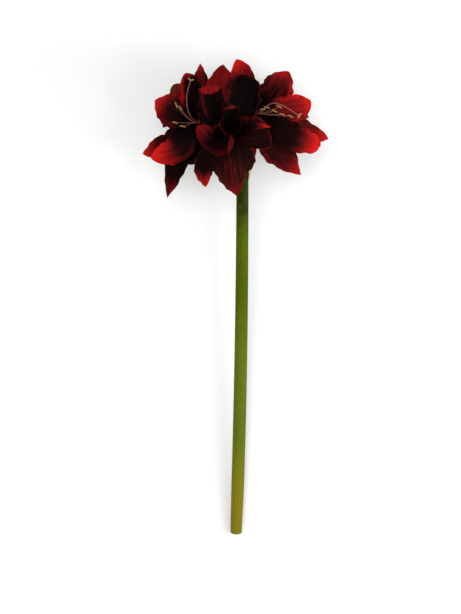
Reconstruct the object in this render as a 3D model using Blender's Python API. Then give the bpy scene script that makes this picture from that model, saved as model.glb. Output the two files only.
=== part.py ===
"""A cut amaryllis stem that lies on a table, on its back bloom and on its cut end.

The head's frame has its origin where the pedicels leave the scape, with +X to the right, +Y up along the
scape and +Z to the front. The head is then laid back: its front looks up, and the scape slopes down to its
cut end. All sizes are in metres.
"""

import math
from collections import namedtuple

import bmesh
import bpy
import numpy as np
from mathutils import Matrix, Vector

# The scape, a hollow stem that bows a little to the left at its foot
SCAPE_LENGTH = 0.590
SCAPE_BOW = -0.009
SCAPE_TOP_RADIUS = 0.0090
SCAPE_BELLY = 0.0012
SCAPE_WALL = 0.0034
SCAPE_SIDES = 20
SCAPE_RINGS = 13
SCAPE_TOP_SOLID = 0.030

# How the stem lies: its back bloom holds the head up, so that the scape slopes
LIE_ANGLE = math.radians(6.8)

# The gap between a piece and the next one that it stands on
TOUCH = 0.0003

# The pedicels stand in a ring on the scape's top, and each carries an ovary
PEDICEL_RING = 0.0052
PEDICEL_RADIUS = 0.0033
PEDICEL_SIDES = 10
PEDICEL_RINGS = 9
PEDICEL_SPREAD = 0.005
PEDICEL_BEND = 0.008
OVARY_LENGTH = 0.015
OVARY_FOOT_RADIUS = 0.0042
OVARY_RADIUS = 0.0062
OVARY_SHOULDER_RADIUS = 0.0054
OVARY_END_RADIUS = 0.0046

# The floral tube between the ovary and the throat
TUBE_LENGTH = 0.015
TUBE_RADII = (0.0050, 0.0058, 0.0074, 0.0085)
THROAT_RADIUS = TUBE_RADII[-1]
TUBE_SIDES = 12

# A tepal is a thin blade. A broad one has more columns of faces, and a slim one fewer rows.
BLADE = 0.0009
BLADE_ROWS = 8
BLADE_COLUMNS = 4
BROAD = 0.048
BROAD_COLUMNS = 6
SLIM = 0.041
SLIM_ROWS = 6
LIP_ROWS = 3

# It grows from the tube's wall as a narrow claw, deeper in the flower for each inner whorl
ROOT_DEPTH = 0.0044
ROOT_RADIUS = 0.0064
NEST = 0.24
CLAW = 0.12
CLAW_DISH = 0.9
WIDEST = 0.55
TIP_WIDTH = 0.0008
LIP_TAPER_END = 0.93

# Where a tepal lies on the table, it is pressed flat within this height, and sinks this far at most
PRESS_SOFT = 0.004
PRESS_SINK = 0.0004

# Stamens and pistils
HUB_RADIUS = 0.0038
HUB_HEIGHT = 0.0020
FILAMENT_RADIUS = 0.00075
FILAMENT_RING = 0.0028
STYLE_RADIUS = 0.00085
ANTHER_LENGTH = 0.0095
ANTHER_RADIUS = 0.0013
STIGMA_LOBE = 0.0068
THREAD_SIDES = 5
THREAD_RINGS = 7

# The two spathe valves, papery bracts below the pedicels
SPATHE_LENGTH = 0.036
SPATHE_DROP = 0.015
SPATHE_WIDTH = 0.015
SPATHE_LEAN = 0.0055
SPATHE_TURNS = {"spathe_right": 8, "spathe_left": 165}

# Edges sharper than this stay sharp in the smooth shading
SHARP_ANGLE = math.radians(50)

# Colour and roughness of each kind of piece
GREEN_SKIN = ((0.13, 0.17, 0.02), 0.45)
PEDICEL_SKIN = ((0.09, 0.14, 0.02), 0.50)
RED_PETAL = ((0.20, 0.004, 0.006), 0.50)
POLLEN = ((0.50, 0.30, 0.10), 0.70)
PINK_STYLE = ((0.55, 0.25, 0.18), 0.50)
TAN_PAPER = ((0.60, 0.45, 0.25), 0.80)

# One tepal: the points that its middle line passes at its belly and ends at, its width, and where its inner
# face looks at the belly, all in the head's frame. Then how far it follows the bloom's axis beyond the
# throat, the length and the turn of a lip beyond its tip in degrees, where a positive turn curls it over its
# inner face, the dish of its cross-section in radians, the twist of its blade in degrees, the height and
# number of the waves along its margin, how far its middle is folded into a keel, how blunt its tip is, and
# the whorl that it stands in, from the outermost.
Tepal = namedtuple("Tepal", "belly tip width face reach lip curl dish twist wave waves keel blunt whorl")
PLAIN = dict(
    reach=0.014, lip=0.0, curl=0, dish=0.35, twist=0, wave=0.0020, waves=2.5, keel=0.0, blunt=0.0, whorl=0
)


def tepal(belly, tip, width, face, **changes):
    return Tepal(belly=belly, tip=tip, width=width, face=face, **{**PLAIN, **changes})


# A bloom's filaments are given by their tips and the directions in which their anthers lie
Bloom = namedtuple("Bloom", "name throat facing turn tepals filaments style")

BLOOMS = [
    Bloom(
        name="left",
        throat=(-0.064, 0.075, 0.020),
        facing=(-0.78, 0.05, 0.62),
        turn=180,
        tepals=[
            tepal(
                (-0.106, 0.093, 0.018), (-0.129, 0.105, 0.014), 0.056, (0.35, 0.1, 0.93),
                wave=0.003, whorl=1,
            ),
            tepal((-0.088, 0.104, -0.008), (-0.103, 0.125, -0.014), 0.040, (0.0, -0.2, 1.0), blunt=0.5),
            tepal(
                (-0.077, 0.116, 0.018), (-0.083, 0.145, 0.016), 0.038, (0.52, 0.1, 0.85),
                dish=0.5, blunt=0.4,
            ),
            tepal((-0.066, 0.108, 0.014), (-0.062, 0.157, 0.002), 0.032, (-0.3, -0.1, 0.95)),
            tepal(
                (-0.092, 0.038, 0.036), (-0.135, 0.025, 0.038), 0.041, (0.1, 0.5, 0.85),
                dish=0.5, blunt=0.3, whorl=1,
            ),
            tepal(
                (-0.109, 0.0395, 0.008), (-0.149, 0.025, 0.002), 0.036, (0.1, 0.5, 0.85),
                dish=0.5, blunt=0.25,
            ),
            tepal(
                (-0.100, 0.006, 0.010), (-0.113, -0.042, 0.002), 0.035, (-0.2, 0.2, 0.95),
                twist=30, wave=0.002, blunt=-0.15,
            ),
            tepal((-0.071, 0.042, 0.023), (-0.087, 0.014, 0.021), 0.042, (0.0, 0.3, 0.95), blunt=0.3),
        ],
        filaments=[
            ((-0.096, 0.104, 0.060), (0.35, -0.95, 0.0)),
            ((-0.090, 0.099, 0.056), (0.6, -0.8, 0.1)),
            ((-0.098, 0.078, 0.056), (0.9, -0.3, 0.0)),
            ((-0.087, 0.073, 0.059), (0.95, -0.2, 0.1)),
        ],
        style=((-0.081, 0.114, 0.052), (-0.075, 0.138, 0.056)),
    ),
    Bloom(
        name="right",
        throat=(0.015, 0.088, 0.022),
        facing=(0.82, 0.0, 0.55),
        turn=0,
        tepals=[
            tepal((0.046, 0.1135, 0.008), (0.067, 0.146, 0.000), 0.050, (-0.2, -0.3, 0.93), blunt=0.15),
            tepal(
                (0.067, 0.093, 0.024), (0.100, 0.104, 0.018), 0.045, (-0.2, -0.2, 0.95),
                blunt=0.25, whorl=1,
            ),
            tepal((0.086, 0.059, -0.006), (0.128, 0.045, -0.010), 0.034, (-0.1, 0.2, 0.97), blunt=0.2),
            tepal(
                (0.068, 0.058, 0.042), (0.113, 0.0405, 0.036), 0.040, (-0.1, 0.3, 0.95),
                wave=0.003, blunt=0.6, whorl=1,
            ),
            tepal((0.048, 0.0405, 0.020), (0.087, -0.006, 0.008), 0.0505, (-0.1, 0.3, 0.95), blunt=-0.18),
            tepal((0.074, 0.084, -0.022), (0.100, 0.072, -0.045), 0.040, (-0.4, 0.1, 0.9)),
        ],
        filaments=[
            ((0.028, 0.098, 0.062), (1.0, 0.15, 0.1)),
            ((0.034, 0.101, 0.064), (0.95, -0.2, 0.1)),
            ((0.045, 0.096, 0.065), (0.9, -0.45, 0.0)),
            ((0.056, 0.091, 0.064), (0.95, -0.3, -0.1)),
            ((0.068, 0.088, 0.062), (0.9, -0.4, -0.1)),
            ((0.052, 0.101, 0.055), (0.85, -0.5, 0.0)),
        ],
        style=((0.046, 0.105, 0.048), (0.080, 0.088, 0.052)),
    ),
    Bloom(
        name="front",
        throat=(-0.020, 0.068, 0.048),
        facing=(-0.08, -0.12, 0.99),
        turn=-90,
        tepals=[
            tepal(
                (-0.017, 0.015, 0.072), (-0.009, -0.029, 0.058), 0.053, (0.0, 0.1, 1.0),
                keel=-0.25, dish=0.02, blunt=-0.15,
            ),
            tepal((0.004, 0.033, 0.060), (0.001, 0.002, 0.050), 0.036, (0.3, 0.1, 1.0), dish=-0.2),
            tepal((-0.057, 0.014, 0.066), (-0.054, -0.016, 0.054), 0.034, (-0.2, 0.1, 1.0), dish=-0.2),
            tepal((-0.044, 0.056, 0.084), (-0.066, 0.077, 0.084), 0.050, (0.5, 0.3, 0.8), dish=0.8, whorl=1),
            tepal(
                (-0.043, 0.108, 0.078), (-0.047, 0.129, 0.082), 0.034, (0.1, -0.4, 0.9),
                lip=0.027, curl=290, blunt=0.9, wave=0.0006, whorl=1,
            ),
            tepal(
                (-0.031, 0.124, 0.034), (-0.028, 0.157, 0.020), 0.056, (-0.1, -0.2, 1.0),
                wave=0.003, blunt=-0.02,
            ),
            tepal(
                (0.002, 0.120, 0.052), (-0.009, 0.167, 0.040), 0.040, (0.0, -0.15, 1.0),
                dish=0.5, blunt=0.3,
            ),
            tepal(
                (-0.002, 0.116, 0.068), (0.001, 0.147, 0.060), 0.054, (0.0, -0.2, 1.0),
                dish=0.6, blunt=0.7,
            ),
            tepal(
                (0.011, 0.068, 0.084), (0.038, 0.072, 0.082), 0.046, (-0.3, 0.2, 0.93),
                blunt=0.5, whorl=1,
            ),
            tepal(
                (0.016, 0.079, 0.095), (0.038, 0.077, 0.093), 0.012, (-0.1, 0.1, 1.0),
                dish=0.6, wave=0.0, whorl=2,
            ),
            tepal((0.016, 0.061, 0.076), (0.043, 0.046, 0.073), 0.040, (-0.2, 0.4, 0.9), wave=0.004),
            tepal(
                (-0.016, 0.092, 0.092), (-0.017, 0.105, 0.095), 0.029, (0.0, -0.6, 0.8),
                dish=0.85, lip=0.012, curl=190, blunt=0.9, wave=0.001, whorl=2,
            ),
            tepal(
                (-0.030, 0.080, 0.088), (-0.035, 0.079, 0.097), 0.032, (0.8, 0.1, 0.5),
                dish=0.7, blunt=0.8, whorl=2,
            ),
            tepal(
                (-0.016, 0.058, 0.099), (-0.021, 0.039, 0.100), 0.010, (0.3, 0.1, 0.9),
                dish=-0.6, blunt=0.3, wave=0.0, whorl=2,
            ),
            tepal(
                (-0.007, 0.079, 0.088), (-0.003, 0.082, 0.096), 0.030, (-0.8, 0.1, 0.5),
                dish=0.7, blunt=0.8, whorl=2,
            ),
            tepal(
                (-0.048, 0.092, 0.072), (-0.062, 0.092, 0.062), 0.034, (0.2, 0.1, 0.95),
                blunt=0.4, whorl=1,
            ),
        ],
        filaments=[],
        style=None,
    ),
    Bloom(
        name="back",
        throat=(0.000, 0.084, -0.040),
        facing=(0.02, 0.50, -0.86),
        turn=90,
        tepals=[
            tepal((-0.022, 0.114, -0.050), (-0.026, 0.131, -0.060), 0.044, (0.0, 0.4, -0.9)),
            tepal((0.046, 0.100, -0.056), (0.066, 0.108, -0.068), 0.034, (-0.3, 0.3, -0.9)),
            tepal(
                (0.058, 0.078, -0.088), (0.092, 0.082, -0.104), 0.046, (0.1, 0.1, -1.0),
                wave=0.001, whorl=1,
            ),
            tepal((0.052, 0.040, -0.086), (0.072, 0.008, -0.100), 0.044, (0.1, -0.1, -1.0), wave=0.001),
            tepal((-0.052, 0.040, -0.086), (-0.074, 0.008, -0.100), 0.044, (-0.1, -0.1, -1.0), wave=0.001),
            tepal(
                (-0.056, 0.078, -0.088), (-0.092, 0.082, -0.104), 0.046, (-0.1, 0.1, -1.0),
                wave=0.001, whorl=1,
            ),
        ],
        filaments=[],
        style=None,
    ),
]


def unit(vector):
    vector = np.asarray(vector, float)
    return vector / np.linalg.norm(vector)


def ease(value):
    """A smooth step from 0 at 0 to 1 at 1."""
    value = np.clip(value, 0.0, 1.0)
    return value * value * (3 - 2 * value)


def foot_height():
    """How high the scape's top is above the table, so that the cut end touches it."""
    return SCAPE_LENGTH * math.sin(LIE_ANGLE) + scape_radius(1.0) * math.cos(LIE_ANGLE)


def press(points):
    """Presses a blade that would reach below the table flat against it."""
    up = np.array([0.0, math.sin(LIE_ANGLE), math.cos(LIE_ANGLE)])
    height = points @ up + foot_height() - BLADE / 2
    pressed = (height + np.sqrt(height**2 + PRESS_SOFT**2)) / 2 - PRESS_SINK
    return points + (np.maximum(pressed, 0.0) - height)[..., None] * up


def directions(line):
    tangent = np.gradient(line, axis=0)
    return tangent / np.linalg.norm(tangent, axis=1)[:, None]


def placed(line, shares):
    """Points and directions at the given shares of a line's length."""
    along = np.concatenate([[0], np.cumsum(np.linalg.norm(np.diff(line, axis=0), axis=1))])
    at = np.asarray(shares) * along[-1]
    tangents = directions(line)
    points = np.stack([np.interp(at, along, line[:, k]) for k in range(3)], axis=1)
    turned = np.stack([np.interp(at, along, tangents[:, k]) for k in range(3)], axis=1)
    return points, turned / np.linalg.norm(turned, axis=1)[:, None]


def spline(knots, start, steps=16):
    """A smooth line through the knots, which leaves the first one in the start direction."""
    knots = [np.array(knot, float) for knot in knots]
    spans = [np.linalg.norm(b - a) for a, b in zip(knots, knots[1:])]
    slopes = [unit(start)]
    for k in range(1, len(knots) - 1):
        before = (knots[k] - knots[k - 1]) / spans[k - 1]
        after = (knots[k + 1] - knots[k]) / spans[k]
        slopes.append((before * spans[k] + after * spans[k - 1]) / (spans[k] + spans[k - 1]))
    slopes.append(1.5 * (knots[-1] - knots[-2]) / spans[-1] - 0.5 * slopes[-1])
    line = [knots[0]]
    for k, span in enumerate(spans):
        for t in np.linspace(0, 1, steps + 1)[1:]:
            line.append(
                (2 * t**3 - 3 * t**2 + 1) * knots[k]
                + (t**3 - 2 * t**2 + t) * span * slopes[k]
                + (3 * t**2 - 2 * t**3) * knots[k + 1]
                + (t**3 - t**2) * span * slopes[k + 1]
            )
    return np.array(line)


def half_width(u, blunt):
    """A tepal's width along its length, as a share of its greatest: a claw, a broad belly, a pointed tip."""
    rise = CLAW + (1 - CLAW) * np.sin(np.clip(u / WIDEST, 0, 1) * math.pi / 2) ** 1.3
    fall = (1 - np.clip((u - WIDEST) / (1 - WIDEST), 0, 1) ** (1.9 + 3 * blunt)) ** (0.85 - 0.4 * blunt)
    return rise * fall


def blade_surface(bloom, shape, rows, lip_rows, columns):
    """The middle surface of one tepal, as a grid of points in the head's frame."""
    throat, axis, tip = np.array(bloom.throat), unit(bloom.facing), np.array(shape.tip)
    outward = np.array(shape.belly) - throat
    outward = unit(outward - axis * (outward @ axis))
    nest = 1 - NEST * shape.whorl
    root = throat - axis * ROOT_DEPTH + outward * ROOT_RADIUS * nest
    mouth = throat + axis * shape.reach + outward * THROAT_RADIUS * 1.25 * nest
    line = spline((root, mouth, shape.belly, tip), axis)
    u = np.linspace(0, 1, rows + 1)
    if shape.lip:
        blade_length = np.linalg.norm(np.diff(line, axis=0), axis=1).sum()
        heading = unit(line[-1] - line[-2])
        inward = np.cross(unit(np.cross(heading, shape.face)), heading)
        bend = math.radians(shape.curl) / shape.lip
        along = np.linspace(0, shape.lip, 16)[1:, None]
        lip = tip + heading * np.sin(along * bend) / bend + inward * (1 - np.cos(along * bend)) / bend
        line = np.concatenate([line, lip])
        share = blade_length / (blade_length + shape.lip)
        u = np.concatenate([u[:-1] * share, np.linspace(share, 1, lip_rows + 1)])
    line, tangent = placed(line, u)

    share = ease(u / 0.45)[:, None]
    looks = unit(-outward + 0.3 * axis) * (1 - share) + unit(shape.face) * share
    side = np.cross(tangent, looks)
    side /= np.linalg.norm(side, axis=1)[:, None]
    # On the lip the width keeps its direction, so that the curl stays even
    for row in range(rows, len(u)):
        side[row] = unit(side[row - 1] - tangent[row] * (side[row - 1] @ tangent[row]))
    spin = np.radians(shape.twist) * (u - 0.3)[:, None]
    normal = np.cross(side, tangent)
    side, normal = side * np.cos(spin) + normal * np.sin(spin), normal * np.cos(spin) - side * np.sin(spin)

    v = np.linspace(-1, 1, columns + 1)
    # A lip stays broad to its end
    width = half_width(np.minimum(u, LIP_TAPER_END) if shape.lip else u, shape.blunt)
    half = np.maximum(width * shape.width / 2, TIP_WIDTH)[:, None]
    dish = (CLAW_DISH * (1 - ease(u / 0.4)) + shape.dish * ease(u / 0.4))[:, None]
    dish = np.where(np.abs(dish) < 0.02, 0.02, dish)
    sideways = half * np.sin(dish * v) / dish
    lift = half * (1 - np.cos(dish * v)) / dish
    lift = lift + shape.keel * half * np.abs(v) * ease(u / 0.5)[:, None]
    phase = math.tau * shape.waves * u[:, None] + np.where(v > 0, 2.1, 0.0) + 40 * shape.tip[0]
    lift = lift + shape.wave * np.abs(v) ** 2 * np.sin(phase) * ease((u[:, None] - 0.25) / 0.3)
    points = line[:, None] + side[:, None] * sideways[..., None] + normal[:, None] * lift[..., None]
    return press(points)


def mesh_object(name, points, faces):
    """A mesh from points and faces, with its faces turned outwards."""
    mesh = bpy.data.meshes.new(name)
    mesh.from_pydata([tuple(point) for point in points], [], faces)
    work = bmesh.new()
    work.from_mesh(mesh)
    bmesh.ops.recalc_face_normals(work, faces=work.faces)
    work.to_mesh(mesh)
    work.free()
    built = bpy.data.objects.new(name, mesh)
    bpy.context.scene.collection.objects.link(built)
    return built


def blade_object(name, surface):
    """A closed thin solid round a grid of points, split into triangles alike on both faces."""
    rows, columns = surface.shape[0], surface.shape[1]
    normal = np.cross(np.gradient(surface, axis=1), np.gradient(surface, axis=0))
    normal /= np.linalg.norm(normal, axis=2)[..., None]
    both = [surface + normal * BLADE / 2, surface - normal * BLADE / 2]
    points = np.concatenate([grid.reshape(-1, 3) for grid in both])
    count = rows * columns

    def at(row, column):
        return row * columns + column

    faces = []
    for row in range(rows - 1):
        for column in range(columns - 1):
            a, b = at(row, column), at(row, column + 1)
            c, d = at(row + 1, column + 1), at(row + 1, column)
            for triangle in ((a, b, c), (a, c, d)):
                faces.append(triangle)
                faces.append(tuple(count + index for index in reversed(triangle)))
    rim = [at(0, column) for column in range(columns)]
    rim += [at(row, columns - 1) for row in range(1, rows)]
    rim += [at(rows - 1, column) for column in range(columns - 2, -1, -1)]
    rim += [at(row, 0) for row in range(rows - 2, 0, -1)]
    for here, there in zip(rim, rim[1:] + rim[:1]):
        faces.append((here, there, count + there))
        faces.append((here, count + there, count + here))
    return mesh_object(name, points, faces)


def rings_object(name, centres, tangents, radii, sides):
    """A closed round solid through rings of the given radii, with flat ends."""
    points = []
    side = unit(np.cross(tangents[0], (0.31, 0.17, 0.93)))
    for centre, tangent, radius in zip(centres, tangents, radii):
        side = unit(side - tangent * (side @ tangent))
        other = np.cross(tangent, side)
        for turn in np.arange(sides) * math.tau / sides:
            points.append(centre + radius * (side * math.cos(turn) + other * math.sin(turn)))
    faces = [tuple(range(sides - 1, -1, -1))]
    for ring in range(len(radii) - 1):
        for k in range(sides):
            low, high = ring * sides, (ring + 1) * sides
            faces.append((low + k, low + (k + 1) % sides, high + (k + 1) % sides, high + k))
    faces.append(tuple((len(radii) - 1) * sides + k for k in range(sides)))
    return mesh_object(name, points, faces)


def fill_pockets(mesh):
    """Fills the small pockets that blades seal between them: all of a mesh's shells but the largest go."""
    work = bmesh.new()
    work.from_mesh(mesh)
    left, shells = set(work.faces), []
    while left:
        start = left.pop()
        shell, front = [start], [start]
        while front:
            for edge in front.pop().edges:
                for face in edge.link_faces:
                    if face in left:
                        left.remove(face)
                        shell.append(face)
                        front.append(face)
        shells.append(shell)
    shells.sort(key=len)
    for shell in shells[:-1]:
        bmesh.ops.delete(work, geom=shell, context="FACES")
    work.to_mesh(mesh)
    work.free()


def joined(name, base, pieces):
    """One solid from a base and the pieces that grow from it.

    The manifold solver is used because the exact one leaves open edges where thin blades cross at the claws.
    """
    group = bpy.data.collections.new(name + "_pieces")
    bpy.context.scene.collection.children.link(group)
    for piece in pieces:
        bpy.context.scene.collection.objects.unlink(piece)
        group.objects.link(piece)
    union = base.modifiers.new("union", "BOOLEAN")
    union.operation = "UNION"
    union.operand_type = "COLLECTION"
    union.collection = group
    union.solver = "MANIFOLD"
    bpy.context.view_layer.update()
    graph = bpy.context.evaluated_depsgraph_get()
    mesh = bpy.data.meshes.new_from_object(base.evaluated_get(graph))
    base.modifiers.clear()
    base.data = mesh
    for piece in pieces:
        bpy.data.objects.remove(piece)
    bpy.data.collections.remove(group)
    fill_pockets(mesh)
    base.name = name
    return base


def finish(built, suffix, look):
    """Shades a piece smooth but for its rims and gives it a material of its own, of one colour."""
    colour, roughness = look
    material = bpy.data.materials.new(built.name + suffix)
    material.use_nodes = True
    shader = material.node_tree.nodes["Principled BSDF"]
    shader.inputs["Base Color"].default_value = (*colour, 1.0)
    shader.inputs["Roughness"].default_value = roughness
    shader.inputs["Metallic"].default_value = 0.0
    material.diffuse_color = (*colour, 1.0)
    built.data.materials.clear()
    built.data.materials.append(material)
    built.data.shade_smooth()
    built.data.set_sharp_from_angle(angle=SHARP_ANGLE)
    return built


def scape_line(share):
    """The scape's centre line in the head's frame, from its top at 0 to its cut end at 1."""
    return np.array([SCAPE_BOW * share**2.2, -SCAPE_LENGTH * share, 0.0])


def scape_radius(share):
    """The scape swells toward its foot and draws in again at the cut end."""
    belly = SCAPE_BELLY * math.sin(math.pi * share / 1.45)
    foot = SCAPE_BELLY * 0.6 * float(ease((share - 0.85) / 0.15))
    collar = 0.0008 * float(ease(1 - share / 0.03))
    return SCAPE_TOP_RADIUS + belly - foot + collar


def make_scape():
    """The hollow scape, whose bore ends a little below the pedicels."""
    shares = np.concatenate([[0, 0.012, 0.03], np.linspace(0.06, 1, SCAPE_RINGS - 3)])
    outer = np.array([scape_line(share) for share in shares])
    radii = [scape_radius(share) for share in shares]
    inner_shares = np.linspace(1, SCAPE_TOP_SOLID / SCAPE_LENGTH, SCAPE_RINGS // 2)
    inner = np.array([scape_line(share) for share in inner_shares])
    inner_radii = [scape_radius(share) - SCAPE_WALL for share in inner_shares]
    inner_radii[-1] *= 0.5
    centres = np.concatenate([outer, inner])
    tangents = np.concatenate([directions(outer), -directions(inner)])
    scape = rings_object("scape", centres, tangents, radii + inner_radii, SCAPE_SIDES)
    return finish(scape, "_skin", GREEN_SKIN)


def ovary_base(bloom):
    return np.array(bloom.throat) - unit(bloom.facing) * (TUBE_LENGTH + TOUCH + OVARY_LENGTH)


def make_pedicel(bloom):
    """A pedicel from the scape's top to its ovary, which swells below the floral tube."""
    turn = math.radians(bloom.turn)
    out, up = np.array([math.cos(turn), 0.0, -math.sin(turn)]), np.array([0.0, 1.0, 0.0])
    foot = out * PEDICEL_RING + up * TOUCH
    base, axis = ovary_base(bloom), unit(bloom.facing)
    rise = np.linalg.norm(base - foot)
    u = np.linspace(0, 1, PEDICEL_RINGS)[:, None]
    bends = (foot, foot + up * rise * 0.45 + out * PEDICEL_SPREAD, base - axis * PEDICEL_BEND, base)
    stalk = (
        (1 - u) ** 3 * bends[0]
        + 3 * u * (1 - u) ** 2 * bends[1]
        + 3 * u**2 * (1 - u) * bends[2]
        + u**3 * bends[3]
    )
    shares = np.array([0.25, 0.55, 0.85, 1.0])[:, None]
    ovary = base + axis * OVARY_LENGTH * shares
    line = np.concatenate([stalk, ovary])
    tangent = directions(line)
    tangent[0] = (0, 1, 0)
    tangent[-1] = axis
    radii = [PEDICEL_RADIUS] * (PEDICEL_RINGS - 1) + [OVARY_FOOT_RADIUS]
    radii += [OVARY_RADIUS, OVARY_RADIUS, OVARY_SHOULDER_RADIUS, OVARY_END_RADIUS]
    pedicel = rings_object("pedicel_" + bloom.name, line, tangent, radii, PEDICEL_SIDES)
    return finish(pedicel, "_skin", PEDICEL_SKIN)


def make_perianth(bloom):
    """A bloom's tepals, grown together in the floral tube."""
    throat, axis = np.array(bloom.throat), unit(bloom.facing)
    shares = np.array([1.0, 0.6, 0.25, 0.0])[:, None]
    line = throat - axis * TUBE_LENGTH * shares
    tube = rings_object("tube", line, [axis] * 4, TUBE_RADII, TUBE_SIDES)
    blades = []
    for shape in bloom.tepals:
        rows = SLIM_ROWS if shape.width < SLIM else BLADE_ROWS
        columns = BROAD_COLUMNS if shape.width > BROAD else BLADE_COLUMNS
        surface = blade_surface(bloom, shape, rows, LIP_ROWS, columns)
        blades.append(blade_object("blade", surface))
    return finish(joined("perianth_" + bloom.name, tube, blades), "_petal", RED_PETAL)


def thread(name, axis, knots, radius):
    """A filament or style that leaves the throat along its bloom's axis, and its heading at its tip."""
    line, tangent = placed(spline(knots, axis), np.linspace(0, 1, THREAD_RINGS))
    tangent[0] = axis
    return rings_object(name, line, tangent, [radius] * THREAD_RINGS, THREAD_SIDES), tangent[-1]


def off_axis(bloom, point):
    """The direction in which a point lies off a bloom's axis."""
    aside, axis = np.array(point) - np.array(bloom.throat), unit(bloom.facing)
    return unit(aside - axis * (aside @ axis))


def make_stamens(bloom):
    """The filaments, grown together at the throat, each with an anther across its tip."""
    throat, axis = np.array(bloom.throat), unit(bloom.facing)
    low = throat + axis * TOUCH
    ends = np.array([low, low + axis * HUB_HEIGHT])
    hub = rings_object("hub", ends, [axis] * 2, [HUB_RADIUS] * 2, THREAD_SIDES * 2)
    pieces = []
    for tip, lean in bloom.filaments:
        # The filaments leave the style's side free
        aside, free = off_axis(bloom, tip), off_axis(bloom, bloom.style[0])
        aside = unit(aside - free * max(aside @ free, 0.0))
        start = low + axis * HUB_HEIGHT / 2 + aside * FILAMENT_RING
        pieces.append(thread("filament", axis, (start, tip), FILAMENT_RADIUS)[0])
        lean = unit(lean)
        line = np.array(tip) + lean * ANTHER_LENGTH * np.array([-0.5, -0.25, 0.25, 0.5])[:, None]
        radii = [ANTHER_RADIUS * 0.4, ANTHER_RADIUS, ANTHER_RADIUS, ANTHER_RADIUS * 0.4]
        pieces.append(rings_object("anther", line, [lean] * 4, radii, THREAD_SIDES + 1))
    return finish(joined("stamens_" + bloom.name, hub, pieces), "_pollen", POLLEN)


def make_pistil(bloom):
    """The style with its stigma of three lobes."""
    throat, axis = np.array(bloom.throat), unit(bloom.facing)
    start = throat + axis * (2 * TOUCH + HUB_HEIGHT) + off_axis(bloom, bloom.style[0]) * FILAMENT_RING / 2
    style, heading = thread("style", axis, (start, *bloom.style), STYLE_RADIUS)
    side = unit(np.cross(heading, (0.2, 1.0, 0.1)))
    other = np.cross(heading, side)
    lobes = []
    for number in range(3):
        turn = math.tau * number / 3
        lean = unit(heading + 1.3 * (side * math.cos(turn) + other * math.sin(turn)))
        root = np.array(bloom.style[-1]) - heading * 0.001
        line = root + lean * STIGMA_LOBE * np.array([0.0, 0.6, 1.0])[:, None]
        radii = [STYLE_RADIUS * 0.9, STYLE_RADIUS, STYLE_RADIUS * 0.6]
        lobes.append(rings_object("lobe", line, [lean] * 3, radii, THREAD_SIDES))
    return finish(joined("pistil_" + bloom.name, style, lobes), "_style", PINK_STYLE)


def make_spathe(name, turn):
    """One papery bract, which clasps the scape's top and bends away from it."""
    turn = math.radians(turn)
    out = np.array([math.cos(turn), 0.0, math.sin(turn)])
    across = np.array([-math.sin(turn), 0.0, math.cos(turn)])
    up = np.array([0.0, 1.0, 0.0])
    u = np.linspace(0, 1, 8)
    gap = scape_radius(0) + TOUCH + BLADE / 2
    lean = SPATHE_LEAN * ease(u / 0.7)[:, None]
    middle = out * (gap + lean) + up * (SPATHE_LENGTH * u[:, None] - SPATHE_DROP)
    half = SPATHE_WIDTH / 2 * (np.sin(np.clip(u * 1.3 + 0.55, 0, math.pi / 2)) * (1 - u**2.2) + 0.05)
    v = np.linspace(-1, 1, 5)
    wrap = v * half[:, None] / gap
    bow = gap * (1 - np.cos(wrap))
    points = middle[:, None] + across * (gap * np.sin(wrap))[..., None] - out * bow[..., None]
    return finish(blade_object(name, points), "_paper", TAN_PAPER)


def lay_down(objects):
    """Hangs every piece on one empty, which lays the head back and centres the stem on the table."""
    head = bpy.data.objects.new("head", None)
    bpy.context.scene.collection.objects.link(head)
    lie = Matrix.Translation(Vector((0, 0, foot_height()))) @ Matrix.Rotation(LIE_ANGLE, 4, "X")
    points = np.array([lie @ vertex.co for built in objects for vertex in built.data.vertices])
    middle = (points.min(axis=0) + points.max(axis=0)) / 2
    head.matrix_world = Matrix.Translation(Vector((-middle[0], -middle[1], 0))) @ lie
    for built in objects:
        built.parent = head


def main():
    for old in list(bpy.data.objects):
        bpy.data.objects.remove(old)
    made = [make_scape()]
    for bloom in BLOOMS:
        made.append(make_pedicel(bloom))
        made.append(make_perianth(bloom))
        if bloom.filaments:
            made.append(make_stamens(bloom))
        if bloom.style:
            made.append(make_pistil(bloom))
    made += [make_spathe(name, turn) for name, turn in SPATHE_TURNS.items()]
    lay_down(made)


if __name__ == "__main__":
    main()
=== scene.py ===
"""The looks of a cut amaryllis stem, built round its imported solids.

The head's frame has its origin where the pedicels leave the scape, with +X to the right, +Y up along the
scape and +Z to the front. Shapes are worked out there in metres, and then laid down with the head.
"""

import math
from collections import namedtuple
from functools import partial

import bpy
import numpy as np
from bpy.props import FloatProperty, FloatVectorProperty, PointerProperty
from mathutils import Matrix, Vector


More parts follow.
